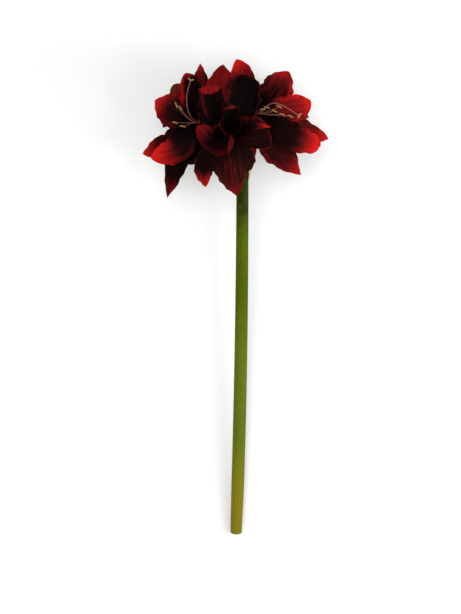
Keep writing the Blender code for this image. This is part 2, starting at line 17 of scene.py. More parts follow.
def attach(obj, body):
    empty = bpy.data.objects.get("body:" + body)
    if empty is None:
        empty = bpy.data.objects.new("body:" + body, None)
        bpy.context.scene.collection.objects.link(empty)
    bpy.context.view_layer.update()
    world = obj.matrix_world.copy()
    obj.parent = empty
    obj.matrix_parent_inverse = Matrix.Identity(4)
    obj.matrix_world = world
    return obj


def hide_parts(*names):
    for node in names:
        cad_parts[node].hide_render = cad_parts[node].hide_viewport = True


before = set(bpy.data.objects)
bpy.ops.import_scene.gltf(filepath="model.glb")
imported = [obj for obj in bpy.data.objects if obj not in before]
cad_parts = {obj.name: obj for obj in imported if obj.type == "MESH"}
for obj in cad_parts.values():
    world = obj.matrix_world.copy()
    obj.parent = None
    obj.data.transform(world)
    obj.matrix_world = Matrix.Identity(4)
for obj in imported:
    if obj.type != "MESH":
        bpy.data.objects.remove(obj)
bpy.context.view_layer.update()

bl_info = {
    "name": "Amaryllis Stem",
    "version": (1, 0, 0),
    "blender": (4, 5, 0),
    "location": "3D View > Sidebar > Amaryllis",
    "description": "Builds the petals, stamens, scape and spathe valves of a cut amaryllis stem",
    "category": "Object",
}

# How the stem lies: its back bloom holds the head up, so that the scape slopes
LIE_ANGLE = math.radians(6.8)

# The scape bows to the left and swells below its middle, and its hollow ends below its top and its collar
SCAPE_BOW = -0.009
SCAPE_BELLY = 0.0012
SCAPE_COLLAR = 0.0008
SCAPE_TOP_SOLID = 0.030
SCAPE_RINGS = 110
SCAPE_SIDES = 64
SLOPE_STEPS = 399
BORE_RINGS = 40

# Rings at these shares of the length round off the top's edge, each so far in from the skin, whose even rings
# start at a share of their own
EDGE_SHARES = (0.0, 0.0004, 0.0015)
EDGE_INSETS = (0.0008, 0.0002, 0.0)
SKIN_START = 0.004

# The cut's rim, and how far up from the cut the rings of its inner edge and of the bore's start lie
CUT_RIM = 0.0006
CUT_EDGE = 0.0004
BORE_START = 0.004

# The gap between a piece and the next one that it stands on
TOUCH = 0.0003

# The solids' blades are this thick, and the petals lie at the same height on the table
SOLID_BLADE = 0.0009
PRESS_SOFT = 0.004
PRESS_SINK = 0.0004

# The pedicels stand in a ring on the scape's top, and each carries an ovary
PEDICEL_RING = 0.0052
PEDICEL_RADIUS = 0.0033
PEDICEL_SPREAD = 0.005
PEDICEL_BEND = 0.008
PEDICEL_RINGS = 40
PEDICEL_SIDES = 36
OVARY_LENGTH = 0.015
OVARY_SHARES = (0.0, 0.12, 0.3, 0.5, 0.7, 0.88, 0.96, 1.0)
OVARY_RADII = (0.0036, 0.0045, 0.0057, 0.0062, 0.0060, 0.0053, 0.0048, 0.0040)
OVARY_RINGS = 25
OVARY_LOBES = 3
LOBE_DEPTH = 0.05

# The floral tube, and how a tepal grows from its wall as a narrow claw and follows the bloom's axis
TUBE_LENGTH = 0.015
TUBE_RADII = (0.0046, 0.0051, 0.0058, 0.0066, 0.0074, 0.0085)
TUBE_GIRTH = 0.040
TUBE_RINGS = 20
TUBE_SIDES = 36
MOUTH_RADIUS = TUBE_RADII[-1] * 1.25
ROOT_DEPTH = 0.0044
ROOT_RADIUS = 0.0064
CLAW_REACH = 0.014
NEST = 0.24
CLAW = 0.12
CLAW_DISH = 0.9
WIDEST = 0.55
TIP_WIDTH = 0.0008
LIP_TAPER_END = 0.93

# The grid of a tepal: rows along it, rows on its rolled lip, columns that crowd towards its margins
PETAL_ROWS = 60
LIP_ROWS = 20
PETAL_COLUMNS = 28
COLUMN_CROWDING = 1.15
LIP_POINTS = 64

# A margin has broad waves, notches and fine crimps. These are counted along a tepal, crimps with their share
# of the full height. The waves of the right half lag by a phase, and all shift with the tip's place.
MARGIN_WAVES = 2.5
MARGIN_LAG = 2.1
MARGIN_SHIFT = 40
NOTCHES = (3.1, 5.3, 8.7)
CRIMPS = ((7.3, 1.0), (12.1, 0.6))

# The middle line of a tepal is a shallow groove, and broad furrows run along its blade
GROOVE_DEPTH = 0.0006
GROOVE_WIDTH = 0.0018
FURROW_HEIGHT = 0.00030
FURROW_SPACING = 0.0085
KEEL_WIDTH = 0.006

# How far apart in its noise two tepals' streaks are taken, in millimetres
GRAIN_SHIFT = 13.7

# Stamens and pistils
HUB_RADIUS = 0.0038
HUB_HEIGHT = 0.0020
HUB_SIDES = 24
HUB_PROFILE = ((0.0, 0.95), (0.15, 1.0), (0.8, 1.0), (1.0, 0.8))
FILAMENT_RING = 0.0028
THREAD_RINGS = 36
THREAD_SIDES = 14
STYLE_SIDES = 16
ANTHER_BOW = 0.0007
ANTHER_RINGS = 22
ANTHER_SIDES = 20
STIGMA_SINK = 0.001
STIGMA_RINGS = 16

# The two spathe valves clasp the scape's top
SPATHE_DROP = 0.015
SPATHE_LEAN = 0.0055
SPATHE_TURNS = {"spathe_right": 8, "spathe_left": 165}
SPATHE_THICKNESS = 0.00035
SPATHE_CURL = 0.0008
SPATHE_ROWS = 40
SPATHE_COLUMNS = 21
SPATHE_SEED = 90

# How far the floor reaches each way, and the lights, each with its place and the point that it looks at
FLOOR_HALF = 60.0
TENT_STRENGTH = 0.86
DIFFUSER_ENERGY = 1.6
DIFFUSER_SPREAD = math.radians(38.0)
DIFFUSER_LINE = ((-0.5, 0.6, 2.6), (0.0, 0.1, 0.05))
STRIP_ENERGY = 22.0
STRIP_SIZE = (0.4, 1.8)
STRIP_LINE = ((1.3, -0.1, 0.9), (0.0, -0.1, 0.0))

# How red a tepal is, from 0, almost black, to 1, bright red: its tip from a share of its length on, its left
# and right margins as its inner face shows them with the tip up, its narrow rim, its body and its back.
# Olive is how far it is weathered.
FLUSH_DEFAULTS = (0.8, 0.75, 0.15, 0.15, 0.2, 0.12, 0.35, 0.0)
Flush = namedtuple("Flush", "tip start left right rim body back olive", defaults=FLUSH_DEFAULTS)

# One tepal: the points that its middle line passes at its belly and ends at, its width, and where its inner
# face looks at the belly, all in the head's frame, and its flush. Then the length of a lip beyond its tip and
# the degrees that it curls over, the dish of its cross-section in radians, the twist of its blade in degrees,
# the height of its margin's waves, how far its middle is folded into a keel, how blunt its tip is, its whorl,
# from the outermost, and how ragged its margin is.
TEPAL_FIELDS = "belly tip width face flush lip curl dish twist wave keel blunt whorl ragged"
Tepal = namedtuple("Tepal", TEPAL_FIELDS, defaults=(Flush(), 0.0, 0, 0.35, 0, 0.0020, 0.0, 0.0, 0, 0.055))

LEFT_TEPALS = (
    Tepal((-0.106, 0.093, 0.018), (-0.129, 0.105, 0.014), 0.056, (0.35, 0.1, 0.93),
          Flush(0.88, 0.57, 0.4, 0.5, 0.45, 0.2), wave=0.003, whorl=1),
    Tepal((-0.088, 0.104, -0.008), (-0.103, 0.125, -0.014), 0.040, (0.0, -0.2, 1.0),
          Flush(0.5, 0.6, 0.4, 0.4, 0.2, 0.3, olive=1.0), blunt=0.5),
    Tepal((-0.077, 0.116, 0.018), (-0.083, 0.145, 0.016), 0.038, (0.52, 0.1, 0.85),
          Flush(0.75, 0.82, 0.85, 0.1, 0.2, 0.08), dish=0.5, blunt=0.4),
    Tepal((-0.066, 0.108, 0.014), (-0.062, 0.157, 0.002), 0.032, (-0.3, -0.1, 0.95),
          Flush(0.7, 0.72, 0.1, 0.1, 0.1, 0.35)),
    Tepal((-0.092, 0.038, 0.036), (-0.135, 0.025, 0.038), 0.041, (0.1, 0.5, 0.85),
          Flush(0.98, 0.41, 0.28, 0.12, 0.25, 0.18), dish=0.5, blunt=0.3, whorl=1),
    Tepal((-0.109, 0.0395, 0.008), (-0.149, 0.025, 0.002), 0.036, (0.1, 0.5, 0.85),
          Flush(0.85, 0.62, 0.3, 0.3, 0.45, 0.25), dish=0.5, blunt=0.25),
    Tepal((-0.100, 0.006, 0.010), (-0.113, -0.042, 0.002), 0.035, (-0.2, 0.2, 0.95),
          Flush(0.5, 0.6, 0.1, 0.15, 0.2, 0.1), twist=30, wave=0.002, blunt=-0.15, ragged=0.06),
    Tepal((-0.071, 0.042, 0.023), (-0.087, 0.014, 0.021), 0.042, (0.0, 0.3, 0.95),
          Flush(0.15, 0.75, 0.1, 0.1, 0.15, 0.08), blunt=0.3),
)
RIGHT_TEPALS = (
    Tepal((0.046, 0.1135, 0.008), (0.067, 0.146, 0.000), 0.050, (-0.2, -0.3, 0.93),
          Flush(0.66, 0.58, 0.05, 0.68, 0.2, 0.3), blunt=0.15),
    Tepal((0.067, 0.093, 0.024), (0.100, 0.104, 0.018), 0.045, (-0.2, -0.2, 0.95),
          Flush(0.8, 0.58, 0.7, 0.45, 0.5, 0.5), blunt=0.25, whorl=1),
    Tepal((0.086, 0.059, -0.006), (0.128, 0.045, -0.010), 0.034, (-0.1, 0.2, 0.97),
          Flush(0.88, 0.7, 0.3, 0.5, 0.5, 0.42, olive=0.12), blunt=0.2),
    Tepal((0.068, 0.058, 0.042), (0.113, 0.0405, 0.036), 0.040, (-0.1, 0.3, 0.95),
          Flush(1.0, 0.56, 0.2, 0.1, 0.12, 0.13), wave=0.003, blunt=0.6, whorl=1),
    Tepal((0.048, 0.0405, 0.020), (0.087, -0.006, 0.008), 0.0505, (-0.1, 0.3, 0.95),
          Flush(0.77, 0.62, 0.3, 0.4, 0.4, 0.24), blunt=-0.18),
    Tepal((0.074, 0.084, -0.022), (0.100, 0.072, -0.045), 0.040, (-0.4, 0.1, 0.9)),
)
FRONT_TEPALS = (
    Tepal((-0.017, 0.015, 0.072), (-0.009, -0.029, 0.058), 0.053, (0.0, 0.1, 1.0),
          Flush(0.52, 0.6, 0.0, 0.08, 0.1, 0.27, olive=0.08), keel=-0.25, dish=0.02, blunt=-0.15,
          ragged=0.07),
    Tepal((0.004, 0.033, 0.060), (0.001, 0.002, 0.050), 0.036, (0.3, 0.1, 1.0),
          Flush(0.35, 0.75, 0.3, 0.2, 0.2, 0.2), dish=-0.2),
    Tepal((-0.057, 0.014, 0.066), (-0.054, -0.016, 0.054), 0.034, (-0.2, 0.1, 1.0),
          Flush(0.81, 0.62, 0.15, 0.2, 0.2, 0.1), dish=-0.2, ragged=0.10),
    Tepal((-0.044, 0.056, 0.084), (-0.066, 0.077, 0.084), 0.050, (0.5, 0.3, 0.8),
          Flush(0.52, 0.5, 0.32, 0.0, 0.2, 0.06), dish=0.8, whorl=1),
    Tepal((-0.043, 0.108, 0.078), (-0.047, 0.129, 0.082), 0.034, (0.1, -0.4, 0.9),
          Flush(0.5, 0.8, 0.25, 0.05, 0.0, 0.07, back=0.57), lip=0.027, curl=290, blunt=0.9, wave=0.0006,
          whorl=1, ragged=0.02),
    Tepal((-0.031, 0.124, 0.034), (-0.028, 0.157, 0.020), 0.056, (-0.1, -0.2, 1.0),
          Flush(0.2, 0.85, 0.15, 0.35, 0.2, 0.57), wave=0.003, blunt=-0.02),
    Tepal((0.002, 0.120, 0.052), (-0.009, 0.167, 0.040), 0.040, (0.0, -0.15, 1.0),
          Flush(0.8, 0.66, 0.5, 0.35, 0.5, 0.4), dish=0.5, blunt=0.3),
    Tepal((-0.002, 0.116, 0.068), (0.001, 0.147, 0.060), 0.054, (0.0, -0.2, 1.0),
          Flush(0.2, 0.9, 0.32, 0.0, 0.36, 0.03), dish=0.6, blunt=0.7),
    Tepal((0.011, 0.068, 0.084), (0.038, 0.072, 0.082), 0.046, (-0.3, 0.2, 0.93),
          Flush(0.2, 0.8, 0.35, 0.05, 0.15, 0.18), blunt=0.5, whorl=1),
    Tepal((0.016, 0.079, 0.095), (0.038, 0.077, 0.093), 0.012, (-0.1, 0.1, 1.0),
          Flush(0.88, 0.68, 0.05, 0.05, 0.05, 0.05), dish=0.6, wave=0.0, whorl=2),
    Tepal((0.016, 0.061, 0.076), (0.043, 0.046, 0.073), 0.040, (-0.2, 0.4, 0.9),
          Flush(0.3, 0.75, 0.1, 0.1, 0.6, 0.02), wave=0.004),
    Tepal((-0.016, 0.092, 0.092), (-0.017, 0.105, 0.095), 0.029, (0.0, -0.6, 0.8),
          Flush(0.5, 0.9, 0.0, 0.18, 0.08, 0.0, back=0.38), dish=0.85, lip=0.012, curl=190, blunt=0.9,
          wave=0.001, whorl=2, ragged=0.02),
    Tepal((-0.030, 0.080, 0.088), (-0.035, 0.079, 0.097), 0.032, (0.8, 0.1, 0.5),
          Flush(0.3, 0.75, 0.15, 0.15, 0.5, 0.08), dish=0.7, blunt=0.8, whorl=2),
    Tepal((-0.016, 0.058, 0.099), (-0.021, 0.039, 0.100), 0.010, (0.3, 0.1, 0.9),
          Flush(0.1, 0.5, 0.1, 0.1, 0.15, 0.34), dish=-0.6, blunt=0.3, wave=0.0, whorl=2),
    Tepal((-0.007, 0.079, 0.088), (-0.003, 0.082, 0.096), 0.030, (-0.8, 0.1, 0.5),
          Flush(0.1, 0.75, 0.15, 0.15, 0.2, 0.04), dish=0.7, blunt=0.8, whorl=2),
    Tepal((-0.048, 0.092, 0.072), (-0.062, 0.092, 0.062), 0.034, (0.2, 0.1, 0.95),
          Flush(0.1, 0.75, 0.05, 0.05, 0.1, 0.03), blunt=0.4, whorl=1),
)
BACK_TEPALS = (
    Tepal((-0.022, 0.114, -0.050), (-0.026, 0.131, -0.060), 0.044, (0.0, 0.4, -0.9)),
    Tepal((0.046, 0.100, -0.056), (0.066, 0.108, -0.068), 0.034, (-0.3, 0.3, -0.9)),
    Tepal((0.058, 0.078, -0.088), (0.092, 0.082, -0.104), 0.046, (0.1, 0.1, -1.0), wave=0.001, whorl=1),
    Tepal((0.052, 0.040, -0.086), (0.072, 0.008, -0.100), 0.044, (0.1, -0.1, -1.0), wave=0.001),
    Tepal((-0.052, 0.040, -0.086), (-0.074, 0.008, -0.100), 0.044, (-0.1, -0.1, -1.0), wave=0.001),
    Tepal((-0.056, 0.078, -0.088), (-0.092, 0.082, -0.104), 0.046, (-0.1, 0.1, -1.0), wave=0.001, whorl=1),
)

# Filaments end at a point, where an anther lies along a direction. A style passes its first point and ends at
# its second. The turn is where a bloom's pedicel stands on the scape, in degrees.
Bloom = namedtuple("Bloom", "name throat facing turn tepals filaments style", defaults=((), None))

LEFT_FILAMENTS = (
    ((-0.096, 0.104, 0.060), (0.35, -0.95, 0.0)),
    ((-0.090, 0.099, 0.056), (0.6, -0.8, 0.1)),
    ((-0.098, 0.078, 0.056), (0.9, -0.3, 0.0)),
    ((-0.087, 0.073, 0.059), (0.95, -0.2, 0.1)),
)
LEFT_STYLE = ((-0.081, 0.114, 0.052), (-0.075, 0.138, 0.056))
RIGHT_FILAMENTS = (
    ((0.028, 0.098, 0.062), (1.0, 0.15, 0.1)),
    ((0.034, 0.101, 0.064), (0.95, -0.2, 0.1)),
    ((0.045, 0.096, 0.065), (0.9, -0.45, 0.0)),
    ((0.056, 0.091, 0.064), (0.95, -0.3, -0.1)),
    ((0.068, 0.088, 0.062), (0.9, -0.4, -0.1)),
    ((0.052, 0.101, 0.055), (0.85, -0.5, 0.0)),
)
RIGHT_STYLE = ((0.046, 0.105, 0.048), (0.080, 0.088, 0.052))

BLOOMS = (
    Bloom("left", (-0.064, 0.075, 0.020), (-0.78, 0.05, 0.62), 180, LEFT_TEPALS, LEFT_FILAMENTS, LEFT_STYLE),
    Bloom("right", (0.015, 0.088, 0.022), (0.82, 0.0, 0.55), 0, RIGHT_TEPALS, RIGHT_FILAMENTS, RIGHT_STYLE),
    Bloom("front", (-0.020, 0.068, 0.048), (-0.08, -0.12, 0.99), -90, FRONT_TEPALS),
    Bloom("back", (0.000, 0.084, -0.040), (0.02, 0.50, -0.86), 90, BACK_TEPALS),
)


# Colour


def linear(code):
    """An sRGB hex colour as linear red, green and blue, with an alpha of 1."""
    shares = [int(code[k : k + 2], 16) / 255 for k in (1, 3, 5)]
    return (*(s / 12.92 if s <= 0.04045 else ((s + 0.055) / 1.055) ** 2.4 for s in shares), 1.0)


def metres(name, description, default, lowest=0.0):
    return FloatProperty(
        name=name, description=description, default=default, min=lowest, subtype="DISTANCE", precision=5
    )


def tint(name, description, code):
    return FloatVectorProperty(
        name=name, description=description, default=linear(code), size=4, min=0.0, max=1.0, subtype="COLOR"
    )


class AmaryllisSizes(bpy.types.PropertyGroup):
    """Sizes of the stem's pieces"""

    scape_length: metres("Scape length", "From the cut end to the pedicels", 0.590)
    scape_radius: metres("Scape radius", "At the scape's top", 0.0090)
    scape_wall: metres("Scape wall", "Thickness of the hollow scape's wall", 0.0034)
    petal_thickness: metres("Petal thickness", "At the middle of a petal", 0.0008)
    margin_thickness: metres("Margin thickness", "At a petal's margin", 0.00045)
    crimp_height: metres("Crimp height", "Height of the fine crimps along a margin", 0.0007)
    vein_spacing: metres("Vein spacing", "Between a petal's veins where it is widest", 0.0026)
    filament_radius: metres("Filament radius", "At a filament's foot", 0.00060)
    anther_length: metres("Anther length", "From end to end", 0.0095)
    anther_radius: metres("Anther radius", "At the middle of an anther", 0.0011)
    style_radius: metres("Style radius", "At the middle of a style", 0.00070)
    stigma_lobe: metres("Stigma lobe", "Length of each of a stigma's three lobes", 0.0068)
    spathe_length: metres("Spathe length", "Length of a papery spathe valve", 0.036)
    spathe_width: metres("Spathe width", "Width of a papery spathe valve", 0.015)


class AmaryllisColours(bpy.types.PropertyGroup):
    """Colours of the stem's pieces"""

    petal_black: tint("Petal black", "The petals' darkest parts, in the throats", "#040101")
    petal_maroon: tint("Petal maroon", "The dark blades", "#180405")
    petal_crimson: tint("Petal crimson", "Between the dark blades and the red tips", "#540a0c")
    petal_red: tint("Petal red", "Margins and tips", "#8a100e")
    petal_bright: tint("Petal bright red", "The brightest tips", "#ae1812")
    petal_olive: tint("Petal olive", "The weathered outer faces", "#45280e")
    # The scape's top is darker than its middle: painted shade for the shadow that the head casts on it
    scape_top_painted_shade: tint("Scape top", "The scape below the pedicels", "#1f2902")
    scape_middle: tint("Scape middle", "The scape's upper half", "#3d4c02")
    scape_lower: tint("Scape lower part", "The scape's lower half", "#4b5812")
    scape_foot: tint("Scape foot", "The scape near its cut end", "#655f12")
    scape_pith: tint("Scape pith", "The spongy tissue at the cut", "#b9bf86")
    ovary_green: tint("Ovary green", "Pedicels and ovaries", "#5f7418")
    filament_pale: tint("Filament", "The threads of the stamens", "#764336")
    pollen_tan: tint("Pollen", "The anthers' pollen", "#7a5a2c")
    style_pink: tint("Style", "The thread of a pistil", "#7d4237")
    stigma_cream: tint("Stigma", "The tip of a pistil", "#927230")
    spathe_tan: tint("Spathe", "The dry spathe valves", "#b0915f")
    floor_white: tint("Floor", "The floor that the stem lies on", "#d5d5d4")


class AmaryllisStudio(bpy.types.PropertyGroup):
    """The camera's place and lens"""

    camera_distance: metres("Camera distance", "From the head, along its front", 2.0)
    camera_height: metres("Camera height", "Above the pedicels' foot, along the scape", 0.334)
    camera_aside: metres("Camera aside", "To the right of the scape's top", -0.018, lowest=-1.0)
    camera_pitch: FloatProperty(
        name="Camera pitch",
        description="How far the camera looks down along the scape",
        default=math.radians(15.3),
        subtype="ANGLE",
    )
    lens: FloatProperty(name="Lens", description="Focal length in millimetres", default=78.92, min=1.0)


# Lines and curves


def unit(vectors):
    """A vector, or each vector of a list or grid, at length 1."""
    vectors = np.asarray(vectors, float)
    return vectors / np.maximum(np.linalg.norm(vectors, axis=-1, keepdims=True), 1e-12)


def ease(value, start=0.0, span=1.0):
    """A smooth step from 0 at the start to 1 at the end of the span."""
    value = np.clip((value - start) / span, 0.0, 1.0)
    return value * value * (3 - 2 * value)


def directions(line):
    return unit(np.gradient(line, axis=0))


def steps(line):
    """The lengths of a line's steps from point to point."""
    return np.linalg.norm(np.diff(line, axis=0), axis=1)


def placed(line, shares):
    """Points and directions at the given shares of a line's length."""
    along = np.concatenate([[0], np.cumsum(steps(line))])
    at = np.asarray(shares) * along[-1]
    both = np.hstack([line, directions(line)])
    both = np.stack([np.interp(at, along, numbers) for numbers in both.T], axis=1)
    return both[:, :3], unit(both[:, 3:])


def spline(knots, start, pieces=48):
    """A smooth line through the knots, which leaves the first one in the start direction."""
    knots = np.array(knots, float)
    spans = steps(knots)
    slopes = [unit(start)]
    for k in range(1, len(knots) - 1):
        before = (knots[k] - knots[k - 1]) / spans[k - 1]
        after = (knots[k + 1] - knots[k]) / spans[k]
        slopes.append((before * spans[k] + after * spans[k - 1]) / (spans[k] + spans[k - 1]))
    slopes.append(1.5 * (knots[-1] - knots[-2]) / spans[-1] - 0.5 * slopes[-1])
    line = [knots[:1]]
    t = np.linspace(0, 1, pieces + 1)[1:, None]
    for k, span in enumerate(spans):
        line.append(
            (2 * t**3 - 3 * t**2 + 1) * knots[k]
            + (t**3 - 2 * t**2 + t) * span * slopes[k]
            + (3 * t**2 - 2 * t**3) * knots[k + 1]
            + (t**3 - t**2) * span * slopes[k + 1]
        )
    return np.concatenate(line)


def head_place():
    """Where the head's frame lies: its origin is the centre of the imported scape's top ring."""
    points = np.array([vertex.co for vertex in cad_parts["scape"].data.vertices])
    reach = points @ np.array([0.0, math.cos(LIE_ANGLE), math.sin(LIE_ANGLE)])
    ring = points[reach > reach.max() - 1e-4]
    centre = (ring.min(axis=0) + ring.max(axis=0)) / 2
    return Matrix.Translation(Vector(centre)) @ Matrix.Rotation(LIE_ANGLE, 4, "X")


HEAD = head_place()


# Shells: points, faces and the values that the materials read

Shell = namedtuple("Shell", "points faces values")


def sheet_shell(surface, thickness, values, backs=None):
    """A closed thin shell round a grid of points, with a rounded rim.

    Values are grids of the same size, and backs are those that differ on the shell's other face.
    """
    rows, columns = surface.shape[:2]
    count = rows * columns
    normal = unit(np.cross(np.gradient(surface, axis=1), np.gradient(surface, axis=0))).reshape(-1, 3)
    half = np.broadcast_to(thickness, (rows, columns)).reshape(-1, 1) / 2
    at = np.arange(count).reshape(rows, columns)
    quads = np.stack([at[:-1, :-1], at[:-1, 1:], at[1:, 1:], at[1:, :-1]], axis=-1).reshape(-1, 4)

    # The rim bulges outwards by half the thickness
    rim = np.concatenate([at[0, :-1], at[:-1, -1], at[-1, :0:-1], at[:0:-1, 0]])
    flat = surface.reshape(-1, 3)
    tangent = flat[np.roll(rim, -1)] - flat[np.roll(rim, 1)]
    bulge = flat[rim] + unit(np.cross(tangent, normal[rim])) * half[rim]
    points = np.concatenate([flat + normal * half, flat - normal * half, bulge])
    edge = 2 * count + np.arange(len(rim))
    rim_next, edge_next = np.roll(rim, -1), np.roll(edge, -1)
    upper = np.stack([rim_next, rim, edge, edge_next], axis=1)
    lower = np.stack([edge_next, edge, count + rim, count + rim_next], axis=1)
    faces = np.concatenate([quads, count + quads[:, ::-1], upper, lower]).tolist()
    held = {}
    for name, grid in values.items():
        front = grid.reshape(count, -1)
        back = (backs or {}).get(name, grid).reshape(count, -1)
        held[name] = np.concatenate([front, back, front[rim]])
    return Shell(points, faces, held)


def tube_shell(line, tangents, radii, sides, values=None, swell=None):
    """A closed round shell along a line, through rings of the given radii.

    Values hold one number for each ring, and swell gives a radius factor from a ring's share and angles.
    """
    rings = len(line)
    share = np.linspace(0, 1, rings)
    angles = np.arange(sides) * math.tau / sides
    side = unit(np.cross(tangents[0], (0.31, 0.17, 0.93)))
    points = np.zeros((rings, sides, 3))
    for k in range(rings):
        side = unit(side - tangents[k] * (side @ tangents[k]))
        other = np.cross(tangents[k], side)
        factor = np.ones(sides) if swell is None else swell(share[k], angles)
        ring = np.outer(np.cos(angles), side) + np.outer(np.sin(angles), other)
        points[k] = line[k] + ring * (radii[k] * factor)[:, None]
    at = np.arange(rings * sides).reshape(rings, sides)
    low, high = at[:-1], at[1:]
    quads = np.stack([low, np.roll(low, -1, axis=1), np.roll(high, -1, axis=1), high], axis=-1).reshape(-1, 4)
    faces = quads.tolist() + [at[0, ::-1].tolist(), at[-1].tolist()]
    held = {"around": np.tile(angles / math.tau, rings)[:, None]}
    for name, numbers in {"along": share, **(values or {})}.items():
        held[name] = np.repeat(numbers, sides)[:, None]
    return Shell(points.reshape(-1, 3), faces, held)


def build_piece(name, shells, material, slot, *nodes):
    """One object from shells in the head's frame, which stands for CAD nodes and rides on the stem's body."""
    points = np.concatenate([shell.points for shell in shells])
    points = points @ np.array(HEAD.to_3x3()).T + np.array(HEAD.translation)
    faces, start = [], 0
    for shell in shells:
        faces += [[start + index for index in face] for face in shell.faces]
        start += len(shell.points)
    mesh = bpy.data.meshes.new(name)
    mesh.from_pydata(points.tolist(), [], faces)
    for key in sorted({key for shell in shells for key in shell.values}):
        width = max(shell.values[key].shape[1] for shell in shells if key in shell.values)
        parts = [shell.values.get(key, np.zeros((len(shell.points), width))) for shell in shells]
        kind, field = ("FLOAT", "value") if width == 1 else ("FLOAT_VECTOR", "vector")
        numbers = np.concatenate(parts).astype(np.float32)
        mesh.attributes.new(key, kind, "POINT").data.foreach_set(field, numbers.ravel())
    mesh.validate()
    mesh.shade_smooth()
    mesh.set_sharp_from_angle(angle=math.radians(60))
    mesh.materials.append(material)
    piece = bpy.data.objects.new(name, mesh)
    bpy.context.scene.collection.objects.link(piece)
    if nodes:
        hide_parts(*nodes)
    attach(piece, "root")


# Materials


def feed(node, inputs):
    """Gives a node its inputs by order or by name: values, or the sockets that it is linked to."""
    for key, value in inputs.items() if isinstance(inputs, dict) else enumerate(inputs):
        if isinstance(value, bpy.types.NodeSocket):
            node.id_data.links.new(value, node.inputs[key])
        else:
            node.inputs[key].default_value = value


def add_node(tree, kind, inputs=(), out=0, stops=(), **settings):
    """Adds a shader node with its settings, its inputs and a ramp's stops, and gives one of its outputs.

    A kind that ends in a full stop and a word also says which operation the node does.
    """
    kind, *operation = kind.split(".")
    node = tree.nodes.new("ShaderNode" + kind)
    for name in operation:
        node.operation = name
    for key, value in settings.items():
        setattr(node, key, value)
    feed(node, inputs)
    if stops:
        elements = node.color_ramp.elements
        while len(elements) < len(stops):
            elements.new(1.0)
        for element, (position, colour) in zip(elements, stops):
            element.position, element.color = position, colour
    return node.outputs[out]


def new_material(name):
    """A new material with a Principled shader in it, and the function that adds nodes to it."""
    material = bpy.data.materials.new(name)
    material.use_nodes = True
    return material, partial(add_node, material.node_tree)


def finished(material, inputs, height=None, strength=0.0, distance=0.0003, **settings):
    """The material, with its shader's inputs and with bumps of up to 0.3 mm where a height is given."""
    if height is not None:
        bump = {"Strength": strength, "Distance": distance, "Height": height}
        inputs["Normal"] = add_node(material.node_tree, "Bump", bump, **settings)
    feed(material.node_tree.nodes["Principled BSDF"], inputs)
    return material


def grained(add, place, scales, detail):
    """Noise with its own scale on each axis."""
    stretched = add("VectorMath.MULTIPLY", (place, scales))
    return add("TexNoise", {"Vector": stretched, "Scale": 1.0, "Detail": detail})


def speckled(add, size, detail):
    """Noise with spots of the given size in metres."""
    return add("TexNoise", {"Vector": add("TexCoord", out="Object"), "Scale": 1 / size, "Detail": detail})


def varied(add, colour, noise, darkest, lightest):
    """A colour whose value a noise makes darker and lighter."""
    value = add("MapRange", (noise, 0.3, 0.7, darkest, lightest))
    return add("HueSaturation", {"Value": value, "Color": colour})


def fresh_petal_tissue(colours):
    """Fresh petal, grown: a thin waxy skin over coloured cells.

    The eye gets a satin face that goes from almost black to bright red, with darker veins that run along the
    blade and fine streaks between them.
    """
    material, add = new_material("fresh_petal_tissue")
    names = ("flush", "olive", "vein")
    flush, olive, vein = (add("Attribute", out="Fac", attribute_name=name) for name in names)
    # The grain is in millimetres across the blade and along it: streaks of 2.2 x 22 mm, bands of 7 x 34 mm
    grain = add("Attribute", out="Vector", attribute_name="grain")
    streak = grained(add, grain, (1 / 2.2, 1 / 22, 1.0), 3.0)
    band = grained(add, grain, (1 / 7, 1 / 34, 1.0), 2.0)
    bent = add("Math.MULTIPLY_ADD", (streak, 0.5, vein))
    wave = add("Math.MULTIPLY", (bent, math.tau))
    wave = add("Math.SINE", (wave,))
    wave = add("Math.MULTIPLY_ADD", (wave, 0.5, 0.5))
    ridge = add("Math.POWER", (wave, 3.0))

    # The streaks are strongest where dark and red meet
    dark = add("Math.SUBTRACT", (1.0, flush), use_clamp=True)
    meeting = add("Math.MULTIPLY", (flush, dark))
    depth = add("Math.MULTIPLY_ADD", (meeting, 1.5, 0.12))
    both = add("Math.MULTIPLY_ADD", (band, 0.8, streak))
    both = add("Math.SUBTRACT", (both, 0.9))
    level = add("Math.MULTIPLY_ADD", (both, depth, flush))
    level = add("Math.MULTIPLY_ADD", (ridge, -0.05, level), use_clamp=True)
    stops = ((0.0, colours.petal_black), (0.22, colours.petal_maroon), (0.50, colours.petal_crimson),
             (0.78, colours.petal_red), (1.0, colours.petal_bright))
    red = add("ValToRGB", (level,), stops=stops)
    base = add("Mix", {0: olive, 6: red, 7: colours.petal_olive}, 2, data_type="RGBA")
    # A petal's cells are about 0.05 mm, too fine to show, so they are drawn at 0.7 mm
    cells = add("TexNoise", {"Vector": grain, "Scale": 1 / 0.7, "Detail": 2.0})
    height = add("Math.MULTIPLY", (ridge, -0.6))
    height = add("Math.MULTIPLY_ADD", (cells, 0.25, height))
    rough = add("Math.MULTIPLY_ADD", (streak, 0.2, 0.42))
    inputs = {"Base Color": base, "Roughness": rough, "IOR": 1.42, "Specular IOR Level": 0.018}
    return finished(material, inputs, height, 0.5)


